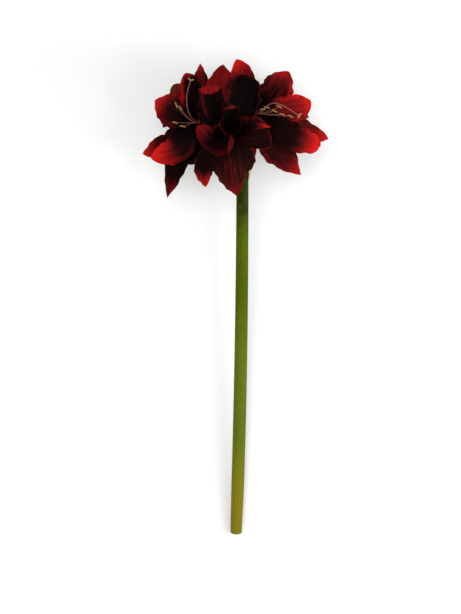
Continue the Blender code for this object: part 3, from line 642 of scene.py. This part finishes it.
def green_scape_skin(colours):
    """Scape, a fleshy stem with a waxy skin, grown: smooth, with faint fibres along it.

    The eye gets a dark green that turns olive towards the foot, a soft gloss along the stem and a pale cut.
    The darkest green, just below the head, is painted shade for the head's shadow.
    """
    material, add = new_material("green_scape_skin")
    names = ("down", "inside", "around")
    down, inside, around = (add("Attribute", out="Fac", attribute_name=name) for name in names)
    # The darkest stop, at the scape's top below the head, is painted shade for the head's shadow
    stops = ((0.10, colours.scape_top_painted_shade), (0.17, colours.scape_middle), (0.34, colours.scape_middle),
             (0.48, colours.scape_lower), (0.70, colours.scape_lower), (0.88, colours.scape_foot))
    colour = add("ValToRGB", (down,), stops=stops)
    # Fibres about 1 mm apart round a stem of 60 mm girth, and 90 mm long
    fibre = grained(add, add("CombineXYZ", (around, down)), (60.0, 6.5, 1.0), 3.0)
    tinted = varied(add, colour, fibre, 0.80, 1.22)
    # Warm blotches of 12 mm
    warm = add("Math.SUBTRACT", (speckled(add, 0.012, 3.0), 0.5), use_clamp=True)
    warm = add("Math.MULTIPLY", (warm, 0.8))
    tinted = add("Mix", {0: warm, 6: tinted, 7: colours.scape_foot}, 2, data_type="RGBA")
    base = add("Mix", {0: inside, 6: tinted, 7: colours.scape_pith}, 2, data_type="RGBA")
    inputs = {"Base Color": base, "Roughness": 0.30, "IOR": 1.42, "Specular IOR Level": 0.03}
    return finished(material, inputs, fibre, 0.35)


def green_ovary_skin(colours):
    """Pedicel and ovary, fleshy and smooth, grown: fresher green than the scape, flushed with red on top."""
    material, add = new_material("green_ovary_skin")
    along, around = (add("Attribute", out="Fac", attribute_name=name) for name in ("along", "around"))
    # Fibres about 1 mm apart round a girth of 20 mm
    fibre = grained(add, add("CombineXYZ", (around, along)), (20.0, 1.0, 1.0), 3.0)
    green = varied(add, colours.ovary_green, fibre, 0.75, 1.25)
    red = add("MapRange", (along, 0.85, 1.0, 0.0, 0.5))
    base = add("Mix", {0: red, 6: green, 7: colours.petal_crimson}, 2, data_type="RGBA")
    return finished(material, {"Base Color": base, "Roughness": 0.40, "IOR": 1.42}, fibre, 0.3)


def fleshy_thread(name, foot, tip):
    """Filament or style, a fleshy thread, grown: pale and satin, darker at its foot than at its tip."""
    material, add = new_material(name)
    along = add("Attribute", out="Fac", attribute_name="along")
    colour = add("ValToRGB", (along,), stops=((0.0, foot), (0.35, tip), (1.0, tip)))
    # Faint spots of 2 mm
    base = varied(add, colour, speckled(add, 0.002, 2.0), 0.85, 1.15)
    return finished(material, {"Base Color": base, "Roughness": 0.42, "IOR": 1.40})


def dusty_pollen(colours):
    """Pollen on an anther, a dry dust: matt, tan and grainy, with darker gaps between the grains' clumps."""
    material, add = new_material("dusty_pollen")
    # A pollen grain is 0.08 mm, too fine to show, so its clumps are drawn at 0.5 mm, in patches of 1.5 mm
    place = add("TexCoord", out="Object")
    clumps = add("TexVoronoi", {"Vector": place, "Scale": 1 / 0.0005}, "Distance")
    base = varied(add, colours.pollen_tan, speckled(add, 0.0015, 3.0), 0.65, 1.25)
    return finished(material, {"Base Color": base, "Roughness": 0.9}, clumps, 0.8, invert=True)


def dry_spathe_paper(colours):
    """Dry spathe valve, grown and withered: thin, papery and matt, with veins along it and brown edges."""
    material, add = new_material("dry_spathe_paper")
    margin = add("Attribute", out="Fac", attribute_name="margin")
    grain = add("Attribute", out="Vector", attribute_name="grain")
    # Veins 1 mm apart and 30 mm long
    veins = grained(add, grain, (1.0, 1 / 30, 1.0), 2.0)
    tan = varied(add, colours.spathe_tan, veins, 0.7, 1.2)
    brown = add("Math.MULTIPLY", (margin, 0.6))
    base = add("Mix", {0: brown, 6: tan, 7: colours.petal_olive}, 2, data_type="RGBA")
    return finished(material, {"Base Color": base, "Roughness": 0.75}, veins, 0.6)


def matt_white_board(colours):
    """Painted board, sprayed: matt and even, so that the floor stays plain, with a faint tooth."""
    material, add = new_material("matt_white_board")
    # The paint's tooth is about 0.2 mm, too fine to show, so it is drawn at 2 mm
    tooth = speckled(add, 0.002, 2.0)
    inputs = {"Base Color": colours.floor_white, "Roughness": 0.9, "Specular IOR Level": 0.1}
    return finished(material, inputs, tooth, 0.05, 0.0002)


# Scape


def scape_line(shares, length):
    """The scape's centre line, from its top at 0 to its cut end at 1."""
    return np.stack([SCAPE_BOW * shares**2.2, -length * shares, 0 * shares], axis=1)


def scape_radius(share, top):
    """The scape swells toward its foot, draws in again at the cut end and has a collar at its top."""
    belly = SCAPE_BELLY * (np.sin(math.pi * share / 1.45) - 0.6 * ease(share, 0.85, 0.15))
    return top + belly + SCAPE_COLLAR * ease(1 - share / 0.03)


def foot_height(sizes):
    """How high the scape's top is above the table, so that the cut end touches it."""
    radius = scape_radius(1.0, sizes.scape_radius)
    return sizes.scape_length * math.sin(LIE_ANGLE) + radius * math.cos(LIE_ANGLE)


class AMARYLLIS_OT_scape(bpy.types.Operator):
    """Builds the hollow scape with its cut end"""

    bl_idname = "amaryllis.scape"
    bl_label = "Scape"

    def execute(self, context):
        sizes = context.scene.amaryllis_sizes
        length, top, wall = sizes.scape_length, sizes.scape_radius, sizes.scape_wall
        outer = np.concatenate([EDGE_SHARES, np.linspace(SKIN_START, 1 - CUT_RIM / length, SCAPE_RINGS)])
        outer_radii = scape_radius(outer, top)
        outer_radii[: len(EDGE_INSETS)] -= EDGE_INSETS
        # The cut rounds over at its rim, and the bore goes up from it
        cut = [1.0, 1.0, 1 - CUT_EDGE / length]
        insets = np.array([CUT_RIM * 0.6, wall - CUT_RIM * 0.8, wall - CUT_EDGE / 2])
        bore = np.linspace(1 - BORE_START / length, SCAPE_TOP_SOLID / length, BORE_RINGS)
        bore_radii = scape_radius(bore, top) - wall
        bore_radii[-1] /= 2
        shares = np.concatenate([outer, cut, bore])
        radii = np.concatenate([outer_radii, scape_radius(1.0, top) - insets, bore_radii])
        inside = np.concatenate([np.zeros(len(outer)), [0.4, 0.9, 1.0], np.ones(len(bore))])
        slopes = directions(scape_line(np.linspace(0, 1, SLOPE_STEPS + 1), length))
        tangents = slopes[(shares * SLOPE_STEPS).astype(int)]

        def ribs(share, angles):
            return 1 + 0.004 * np.sin(7 * angles + 0.7) + 0.003 * np.sin(16 * angles)

        values = {"down": shares, "inside": inside}
        shell = tube_shell(scape_line(shares, length), tangents, radii, SCAPE_SIDES, values, ribs)
        material = green_scape_skin(context.scene.amaryllis_colours)
        build_piece("scape_stem", [shell], material, "scape_skin", "scape")
        return {"FINISHED"}


# Pedicels


def pedicel_shell(bloom):
    """A pedicel from the scape's top to its ovary, whose three chambers show as lobes."""
    turn, axis, up = math.radians(bloom.turn), unit(bloom.facing), np.array([0.0, 1.0, 0.0])
    out = np.array([math.cos(turn), 0.0, -math.sin(turn)])
    foot = out * PEDICEL_RING + up * TOUCH
    base = np.array(bloom.throat) - axis * (TUBE_LENGTH + TOUCH + OVARY_LENGTH)
    rise = np.linalg.norm(base - foot)
    bends = (foot, foot + up * rise * 0.45 + out * PEDICEL_SPREAD, base - axis * PEDICEL_BEND, base)
    u = np.linspace(0, 1, PEDICEL_RINGS)
    stalk = sum(math.comb(3, k) * (u**k * (1 - u) ** (3 - k))[:, None] * bend for k, bend in enumerate(bends))
    shares = np.linspace(0, 1, OVARY_RINGS + 1)[1:]
    line = np.concatenate([stalk, base + axis * OVARY_LENGTH * shares[:, None]])
    tangents = directions(line)
    tangents[0], tangents[-1] = up, axis
    stalk_radii = PEDICEL_RADIUS + (OVARY_RADII[0] - PEDICEL_RADIUS) * ease(u, 0.8, 0.2)
    radii = np.concatenate([stalk_radii, np.interp(shares, OVARY_SHARES, OVARY_RADII)])

    def lobes(share, angles):
        depth = LOBE_DEPTH * ease(share, PEDICEL_RINGS / len(line), 0.12)
        return 1 + depth * (np.cos(OVARY_LOBES * angles) - 1) + 0.006 * np.sin(9 * angles)

    return tube_shell(line, tangents, radii, PEDICEL_SIDES, swell=lobes)


class AMARYLLIS_OT_pedicels(bpy.types.Operator):
    """Builds each bloom's pedicel and ovary"""

    bl_idname = "amaryllis.pedicels"
    bl_label = "Pedicels"

    def execute(self, context):
        material = green_ovary_skin(context.scene.amaryllis_colours)
        for bloom in BLOOMS:
            node = "pedicel_" + bloom.name
            build_piece("ovary_stalk_" + bloom.name, [pedicel_shell(bloom)], material, node + "_skin", node)
        return {"FINISHED"}


# Petals


def half_width(u, blunt):
    """A tepal's width along its length, as a share of its greatest: a claw, a broad belly, a pointed tip."""
    rise = CLAW + (1 - CLAW) * np.sin(np.clip(u / WIDEST, 0, 1) * math.pi / 2) ** 1.3
    fall = (1 - np.clip((u - WIDEST) / (1 - WIDEST), 0, 1) ** (1.9 + 3 * blunt)) ** (0.85 - 0.4 * blunt)
    return rise * fall


def press(points, sizes):
    """Presses a blade that would reach below the table flat against it."""
    up = np.array([0.0, math.sin(LIE_ANGLE), math.cos(LIE_ANGLE)])
    height = points @ up + foot_height(sizes) - SOLID_BLADE / 2
    pressed = (height + np.sqrt(height**2 + PRESS_SOFT**2)) / 2 - PRESS_SINK
    return points + (np.maximum(pressed, 0.0) - height)[..., None] * up


def off_axis(bloom, point):
    """The direction in which a point lies off a bloom's axis."""
    aside, axis = np.array(point) - np.array(bloom.throat), unit(bloom.facing)
    return unit(aside - axis * (aside @ axis))


def petal_frame(bloom, shape):
    """A tepal's middle line: shares of its length, points, the ways across and up there, and its length."""
    throat, axis, outward = np.array(bloom.throat), unit(bloom.facing), off_axis(bloom, shape.belly)
    nest = 1 - NEST * shape.whorl
    root = throat - axis * ROOT_DEPTH + outward * ROOT_RADIUS * nest
    mouth = throat + axis * CLAW_REACH + outward * MOUTH_RADIUS * nest
    line = spline((root, mouth, shape.belly, shape.tip), axis)
    u = np.linspace(0, 1, PETAL_ROWS + 1)
    if shape.lip:
        blade = steps(line).sum()
        heading = unit(line[-1] - line[-2])
        inward = np.cross(unit(np.cross(heading, shape.face)), heading)
        bend = math.radians(shape.curl) / shape.lip
        turned = np.linspace(0, shape.lip, LIP_POINTS)[1:, None] * bend
        lip = line[-1] + (heading * np.sin(turned) + inward * (1 - np.cos(turned))) / bend
        line = np.concatenate([line, lip])
        share = blade / (blade + shape.lip)
        u = np.concatenate([u[:-1] * share, np.linspace(share, 1, LIP_ROWS + 1)])
    length = steps(line).sum()
    line, tangent = placed(line, u)

    # The claw looks at the bloom's axis, and the blade the way that the table gives
    share = ease(u, 0.0, 0.45)[:, None]
    looks = unit(-outward + 0.3 * axis) * (1 - share) + unit(shape.face) * share
    side = unit(np.cross(tangent, looks))
    # On the lip the width keeps its direction, so that the curl stays even
    for row in range(PETAL_ROWS, len(u)):
        side[row] = unit(side[row - 1] - tangent[row] * (side[row - 1] @ tangent[row]))
    spin = np.radians(shape.twist) * (u - 0.3)[:, None]
    normal = np.cross(side, tangent)
    side, normal = side * np.cos(spin) + normal * np.sin(spin), normal * np.cos(spin) - side * np.sin(spin)
    return u, line, side, normal, length


def flush_grid(look, u, v):
    """How red each point of a tepal's inner face is."""
    edge, opened = np.abs(v), ease(u, 0.22, 0.3)
    tip = look.tip * ease((u - look.start) / (1.02 - look.start) + 0.1 * (edge - 0.3))
    left = look.left * ease(-v, 0.25, 0.6) * opened
    right = look.right * ease(v, 0.25, 0.6) * opened
    rim = look.rim * ease(edge, 0.88, 0.1) * opened
    body = look.body * ease(u, 0.15, 0.4) + 0 * v
    return np.maximum.reduce([tip, left, right, rim, body]) + 0.35 * np.minimum(tip, body)


def ripple(draw, turns, u, v):
    """A wave along a tepal that starts anywhere, and elsewhere on its right half."""
    return np.sin(math.tau * (turns * u + draw.random()) + np.where(v > 0, draw.random() * 6, 0.0))


def petal_shell(bloom, shape, number, sizes):
    """One tepal: a grid with waves, crimps, groove and furrows, given its thickness and its looks."""
    draw = np.random.default_rng(number)
    u, line, side, normal, length = petal_frame(bloom, shape)
    u, v = u[:, None], np.linspace(-1, 1, PETAL_COLUMNS + 1)
    v = np.sign(v) * (1 - (1 - np.abs(v)) ** COLUMN_CROWDING)
    edge = np.abs(v)
    # A lip stays broad to its end
    width = half_width(np.minimum(u, LIP_TAPER_END) if shape.lip else u, shape.blunt)
    half = np.maximum(width * shape.width / 2, TIP_WIDTH)
    notches = sum(ripple(draw, turns, u, v) for turns in NOTCHES)
    half = half * (1 + shape.ragged * notches / 1.7 * ease(u, 0.35, 0.2))
    across = half * v

    # An arc across each row, which never gets quite flat
    dish = CLAW_DISH * (1 - ease(u, 0.0, 0.4)) + shape.dish * ease(u, 0.0, 0.4)
    dish = np.where(np.abs(dish) < 0.02, 0.02, dish)
    sideways, lift = half * np.sin(dish * v) / dish, half * (1 - np.cos(dish * v)) / dish
    lift = lift + shape.keel * half * edge * ease(u, 0.0, 0.5)
    phase = math.tau * MARGIN_WAVES * u + np.where(v > 0, MARGIN_LAG, 0.0) + MARGIN_SHIFT * shape.tip[0]
    lift = lift + shape.wave * edge**2 * np.sin(phase) * ease(u, 0.25, 0.3)
    for turns, height in CRIMPS:
        crimp = ripple(draw, turns, u, v)
        lift = lift + sizes.crimp_height * height * edge**3 * crimp * ease(u, 0.3, 0.2)
    lift = lift - GROOVE_DEPTH * np.exp(-((across / GROOVE_WIDTH) ** 2)) * ease(u, 0.1, 0.2)
    furrow = np.sin(math.tau * v * shape.width / 2 / FURROW_SPACING + draw.random() * 6)
    lift = lift + FURROW_HEIGHT * furrow * ease(u, 0.0, 0.3) * (1 - ease(u, 0.8, 0.2))
    points = line[:, None] + side[:, None] * sideways[..., None] + normal[:, None] * lift[..., None]

    thin = ease(edge, 0.3, 0.7)
    thickness = sizes.petal_thickness * (1 - thin) + sizes.margin_thickness * thin
    thickness = thickness * (1 - 0.3 * ease(u, 0.8, 0.2))
    red = flush_grid(shape.flush, u, v)
    weathered = shape.flush.olive * ease(u, 0.35, 0.3)
    place = (across * 1000, u * length * 1000 + 0 * v, np.full_like(across, number * GRAIN_SHIFT))
    values = {
        "flush": red,
        "vein": v * shape.width / 2 / sizes.vein_spacing + 0 * u,
        "grain": np.stack(place, axis=-1),
        "olive": weathered * (0.45 + 0.55 * ease(edge, 0.45, 0.4)),
    }
    # The outer face has a colour of its own, with an olive keel at its foot
    keel = 0.7 * np.exp(-((across / KEEL_WIDTH) ** 2)) * (1 - ease(u, 0.35, 0.4))
    backs = {
        "flush": np.maximum(shape.flush.back * ease(u, 0.25, 0.5), 0.7 * red),
        "olive": np.maximum(keel, weathered),
    }
    return sheet_shell(press(points, sizes), thickness, values, backs)


def floral_tube_shell(bloom):
    """The tube below the throat, green at its foot, with six ribs."""
    axis, shares = unit(bloom.facing), np.linspace(1, 0, TUBE_RINGS)
    line = np.array(bloom.throat) - axis * TUBE_LENGTH * shares[:, None]
    radii = np.interp(1 - shares, np.linspace(0, 1, len(TUBE_RADII)), TUBE_RADII)

    def ribs(share, angles):
        return 0.98 + 0.03 * np.cos(6 * angles)

    values = {"flush": 0.3 * (1 - shares), "olive": 0.9 * shares}
    shell = tube_shell(line, [axis] * TUBE_RINGS, radii, TUBE_SIDES, values, ribs)
    around, along = (shell.values.pop(name) for name in ("around", "along"))
    shell.values["grain"] = np.hstack([around * TUBE_GIRTH * 1000, along * TUBE_LENGTH * 1000, 0 * along])
    return shell


class AMARYLLIS_OT_petals(bpy.types.Operator):
    """Builds each bloom's petals and its floral tube"""

    bl_idname = "amaryllis.petals"
    bl_label = "Petals"

    def execute(self, context):
        material = fresh_petal_tissue(context.scene.amaryllis_colours)
        number = 0
        for bloom in BLOOMS:
            shells = [floral_tube_shell(bloom)]
            for shape in bloom.tepals:
                number += 1
                shells.append(petal_shell(bloom, shape, number, context.scene.amaryllis_sizes))
            node = "perianth_" + bloom.name
            build_piece("petals_" + bloom.name, shells, material, node + "_petal", node)
        return {"FINISHED"}


# Stamens and pistils


def thread_line(axis, knots):
    """A thread that leaves the throat along its bloom's axis and passes the knots."""
    line, tangents = placed(spline(knots, axis), np.linspace(0, 1, THREAD_RINGS))
    tangents[0] = axis
    return line, tangents


def anther_shell(tip, lean, sizes, turn):
    """A curved anther with two pollen sacs, balanced on its filament's tip."""
    bow = unit(np.cross(lean, (0.3, 0.2, 1.0)))
    t = np.linspace(-1, 1, ANTHER_RINGS)[:, None]
    line = np.array(tip) + lean * (sizes.anther_length / 2 * t) + bow * (ANTHER_BOW * (t**2 - 0.3))
    radii = sizes.anther_radius * np.sqrt(np.maximum(1 - np.abs(t[:, 0]) ** 3.5, 0.02))

    def sacs(share, angles):
        return 0.86 + 0.2 * np.cos(2 * (angles + turn)) ** 2 + 0.03 * np.sin(9 * angles + 31 * share)

    return tube_shell(line, directions(line), radii, ANTHER_SIDES, swell=sacs)


class AMARYLLIS_OT_stamens(bpy.types.Operator):
    """Builds the filaments and anthers of the open blooms"""

    bl_idname = "amaryllis.stamens"
    bl_label = "Stamens"

    def execute(self, context):
        sizes, colours = context.scene.amaryllis_sizes, context.scene.amaryllis_colours
        flesh = fleshy_thread("pale_filament_flesh", colours.petal_crimson, colours.filament_pale)
        pollen = dusty_pollen(colours)
        for bloom in BLOOMS:
            if not bloom.filaments:
                continue
            axis, free = unit(bloom.facing), off_axis(bloom, bloom.style[0])
            low = np.array(bloom.throat) + axis * TOUCH
            up, out = np.array(HUB_PROFILE).T
            hub_line = low + axis * HUB_HEIGHT * up[:, None]
            threads = [tube_shell(hub_line, [axis] * len(up), HUB_RADIUS * out, HUB_SIDES)]
            threads[0].values["along"][:] = 0.0
            anthers = []
            for number, (tip, lean) in enumerate(bloom.filaments):
                # The filaments leave the style's side free
                aside = off_axis(bloom, tip)
                aside = unit(aside - free * max(aside @ free, 0.0))
                start = low + axis * HUB_HEIGHT / 2 + aside * FILAMENT_RING
                line, tangents = thread_line(axis, (start, tip))
                radii = sizes.filament_radius * np.linspace(1.0, 0.6, THREAD_RINGS)
                threads.append(tube_shell(line, tangents, radii, THREAD_SIDES))
                anthers.append(anther_shell(tip, unit(lean), sizes, 0.9 * number))
            node = "stamens_" + bloom.name
            build_piece("filaments_" + bloom.name, threads, flesh, node + "_pollen", node)
            build_piece("anthers_" + bloom.name, anthers, pollen, node + "_pollen")
        return {"FINISHED"}


def stigma_shells(tip, heading, sizes):
    """The three lobes of a stigma, which spread from the style's tip and close in to round ends."""
    side = unit(np.cross(heading, (0.2, 1.0, 0.1)))
    other = np.cross(heading, side)
    t = np.linspace(0, 1, STIGMA_RINGS)
    close = 1 - np.clip((1 - t) / 0.25, 0, 1)
    radii = sizes.style_radius * (0.95 + 0.35 * np.sin(math.pi * t)) * np.sqrt(np.maximum(1 - close**2, 0.01))
    t = t[:, None]
    for turn in (0.0, math.tau / 3, math.tau * 2 / 3):
        lean = side * math.cos(turn) + other * math.sin(turn)
        path = heading * (0.75 * t - 0.25 * t**2) + lean * (0.35 * t + 0.45 * t**2)
        path = tip - heading * STIGMA_SINK + sizes.stigma_lobe * path
        yield tube_shell(path, directions(path), radii, THREAD_SIDES)


class AMARYLLIS_OT_pistils(bpy.types.Operator):
    """Builds the styles and three-lobed stigmas of the open blooms"""

    bl_idname = "amaryllis.pistils"
    bl_label = "Pistils"

    def execute(self, context):
        sizes, colours = context.scene.amaryllis_sizes, context.scene.amaryllis_colours
        flesh = fleshy_thread("pink_style_flesh", colours.petal_crimson, colours.style_pink)
        damp = fleshy_thread("damp_stigma_flesh", colours.style_pink, colours.stigma_cream)
        for bloom in BLOOMS:
            if not bloom.style:
                continue
            throat, axis = np.array(bloom.throat), unit(bloom.facing)
            aside = off_axis(bloom, bloom.style[0]) * FILAMENT_RING / 2
            start = throat + axis * (2 * TOUCH + HUB_HEIGHT) + aside
            line, tangents = thread_line(axis, (start, *bloom.style))
            radii = sizes.style_radius * np.linspace(1.1, 0.85, THREAD_RINGS)
            thread = tube_shell(line, tangents, radii, STYLE_SIDES)
            lobes = list(stigma_shells(line[-1], tangents[-1], sizes))
            node = "pistil_" + bloom.name
            build_piece("style_" + bloom.name, [thread], flesh, node + "_style", node)
            build_piece("stigma_" + bloom.name, lobes, damp, node + "_style")
        return {"FINISHED"}


# Spathe valves


def valve_shell(turn, draw, sizes):
    """A valve that clasps the scape and leans off it, with a frayed end and a curled margin."""
    out = np.array([math.cos(turn), 0.0, math.sin(turn)])
    across = np.array([-math.sin(turn), 0.0, math.cos(turn)])
    u, v = np.linspace(0, 1, SPATHE_ROWS)[:, None], np.linspace(-1, 1, SPATHE_COLUMNS)
    gap = scape_radius(0.0, sizes.scape_radius) + TOUCH + SOLID_BLADE / 2
    middle = out * (gap + SPATHE_LEAN * ease(u, 0.0, 0.7))
    middle[:, 1] += sizes.spathe_length * u[:, 0] - SPATHE_DROP
    half = sizes.spathe_width / 2 * (np.sin(np.clip(u * 1.3 + 0.55, 0, math.pi / 2)) * (1 - u**2.2) + 0.05)
    frayed = 1 + 0.06 * np.sin(math.tau * (6 * u + draw.random())) * ease(u, 0.4, 0.3)
    wrap = v * half * frayed / gap
    curl = np.abs(v) ** 3 * np.sin(math.tau * (4 * u + draw.random())) * ease(u, 0.0, 0.5)
    bow = gap * (1 - np.cos(wrap)) - SPATHE_CURL * curl
    points = middle[:, None] + across * (gap * np.sin(wrap))[..., None] - out * bow[..., None]
    grain = np.stack([v * half * 1000, u * sizes.spathe_length * 1000 + 0 * v, 0 * wrap], axis=-1)
    margin = np.maximum(ease(np.abs(v), 0.7, 0.3), ease(u, 0.75, 0.25))
    return sheet_shell(points, SPATHE_THICKNESS, {"grain": grain, "margin": margin})


class AMARYLLIS_OT_spathes(bpy.types.Operator):
    """Builds the two dry spathe valves that clasp the scape's top"""

    bl_idname = "amaryllis.spathes"
    bl_label = "Spathe valves"

    def execute(self, context):
        material = dry_spathe_paper(context.scene.amaryllis_colours)
        for number, (node, degrees) in enumerate(SPATHE_TURNS.items()):
            draw = np.random.default_rng(SPATHE_SEED + number)
            shell = valve_shell(math.radians(degrees), draw, context.scene.amaryllis_sizes)
            build_piece(node.replace("spathe", "valve"), [shell], material, node + "_paper", node)
        return {"FINISHED"}


# Studio


def hang(light, place, aim):
    """Hangs a light at its place, turned towards its aim."""
    lamp = bpy.data.objects.new(light.name, light)
    lamp.location = place
    lamp.rotation_euler = (Vector(aim) - Vector(place)).to_track_quat("-Z", "Y").to_euler()
    bpy.context.scene.collection.objects.link(lamp)


class AMARYLLIS_OT_studio(bpy.types.Operator):
    """Lays the floor, hangs the lights and sets the camera"""

    bl_idname = "amaryllis.studio"
    bl_label = "Studio"

    def execute(self, context):
        scene, studio = context.scene, context.scene.amaryllis_studio
        mesh = bpy.data.meshes.new("floor")
        corners = [(x * FLOOR_HALF, y * FLOOR_HALF, 0) for x, y in ((-1, -1), (1, -1), (1, 1), (-1, 1))]
        mesh.from_pydata(corners, [], [(0, 1, 2, 3)])
        mesh.materials.append(matt_white_board(scene.amaryllis_colours))
        floor = bpy.data.objects.new("floor", mesh)
        scene.collection.objects.link(floor)

        scene.world = bpy.data.worlds.new("light_tent")
        scene.world.use_nodes = True
        feed(scene.world.node_tree.nodes["Background"], ((1.0, 1.0, 1.0, 1.0), TENT_STRENGTH))
        # The diffuser is so wide and far that the floor stays evenly lit
        overhead = bpy.data.lights.new("overhead_diffuser", "SUN")
        overhead.energy, overhead.angle = DIFFUSER_ENERGY, DIFFUSER_SPREAD
        hang(overhead, *DIFFUSER_LINE)
        strip = bpy.data.lights.new("strip_softbox", "AREA")
        strip.shape, strip.energy = "RECTANGLE", STRIP_ENERGY
        strip.size, strip.size_y = STRIP_SIZE
        hang(strip, *STRIP_LINE)

        camera = bpy.data.cameras.new("camera")
        camera.lens, camera.sensor_width, camera.clip_end = studio.lens, 36.0, 50.0
        view = bpy.data.objects.new("camera", camera)
        scene.collection.objects.link(view)
        place = Matrix.Translation((studio.camera_aside, studio.camera_height, studio.camera_distance))
        view.matrix_world = HEAD @ place @ Matrix.Rotation(-studio.camera_pitch, 4, "X")
        scene.camera = view
        scene.view_settings.view_transform = "Standard"
        return {"FINISHED"}


class AMARYLLIS_PT_sidebar(bpy.types.Panel):
    """Sizes, colours and the pieces to build"""

    bl_label = "Amaryllis Stem"
    bl_idname = "AMARYLLIS_PT_sidebar"
    bl_space_type = "VIEW_3D"
    bl_region_type = "UI"
    bl_category = "Amaryllis"

    def draw(self, context):
        for name in GROUPS:
            group, box = getattr(context.scene, name), self.layout.box()
            for field in group.__annotations__:
                box.prop(group, field)
        for operator in OPERATORS:
            self.layout.operator(operator.bl_idname)


OPERATORS = (
    AMARYLLIS_OT_scape,
    AMARYLLIS_OT_pedicels,
    AMARYLLIS_OT_petals,
    AMARYLLIS_OT_stamens,
    AMARYLLIS_OT_pistils,
    AMARYLLIS_OT_spathes,
    AMARYLLIS_OT_studio,
)
GROUPS = {
    "amaryllis_sizes": AmaryllisSizes,
    "amaryllis_colours": AmaryllisColours,
    "amaryllis_studio": AmaryllisStudio,
}


def register():
    for group in (*GROUPS.values(), *OPERATORS, AMARYLLIS_PT_sidebar):
        bpy.utils.register_class(group)
    for name, group in GROUPS.items():
        setattr(bpy.types.Scene, name, PointerProperty(type=group))


def unregister():
    for name in GROUPS:
        delattr(bpy.types.Scene, name)
    for group in (AMARYLLIS_PT_sidebar, *reversed(OPERATORS), *reversed(GROUPS.values())):
        bpy.utils.unregister_class(group)


def main():
    register()
    bpy.ops.amaryllis.scape()
    bpy.ops.amaryllis.pedicels()
    bpy.ops.amaryllis.petals()
    bpy.ops.amaryllis.stamens()
    bpy.ops.amaryllis.pistils()
    bpy.ops.amaryllis.spathes()
    bpy.ops.amaryllis.studio()


if __name__ == "__main__":
    main()
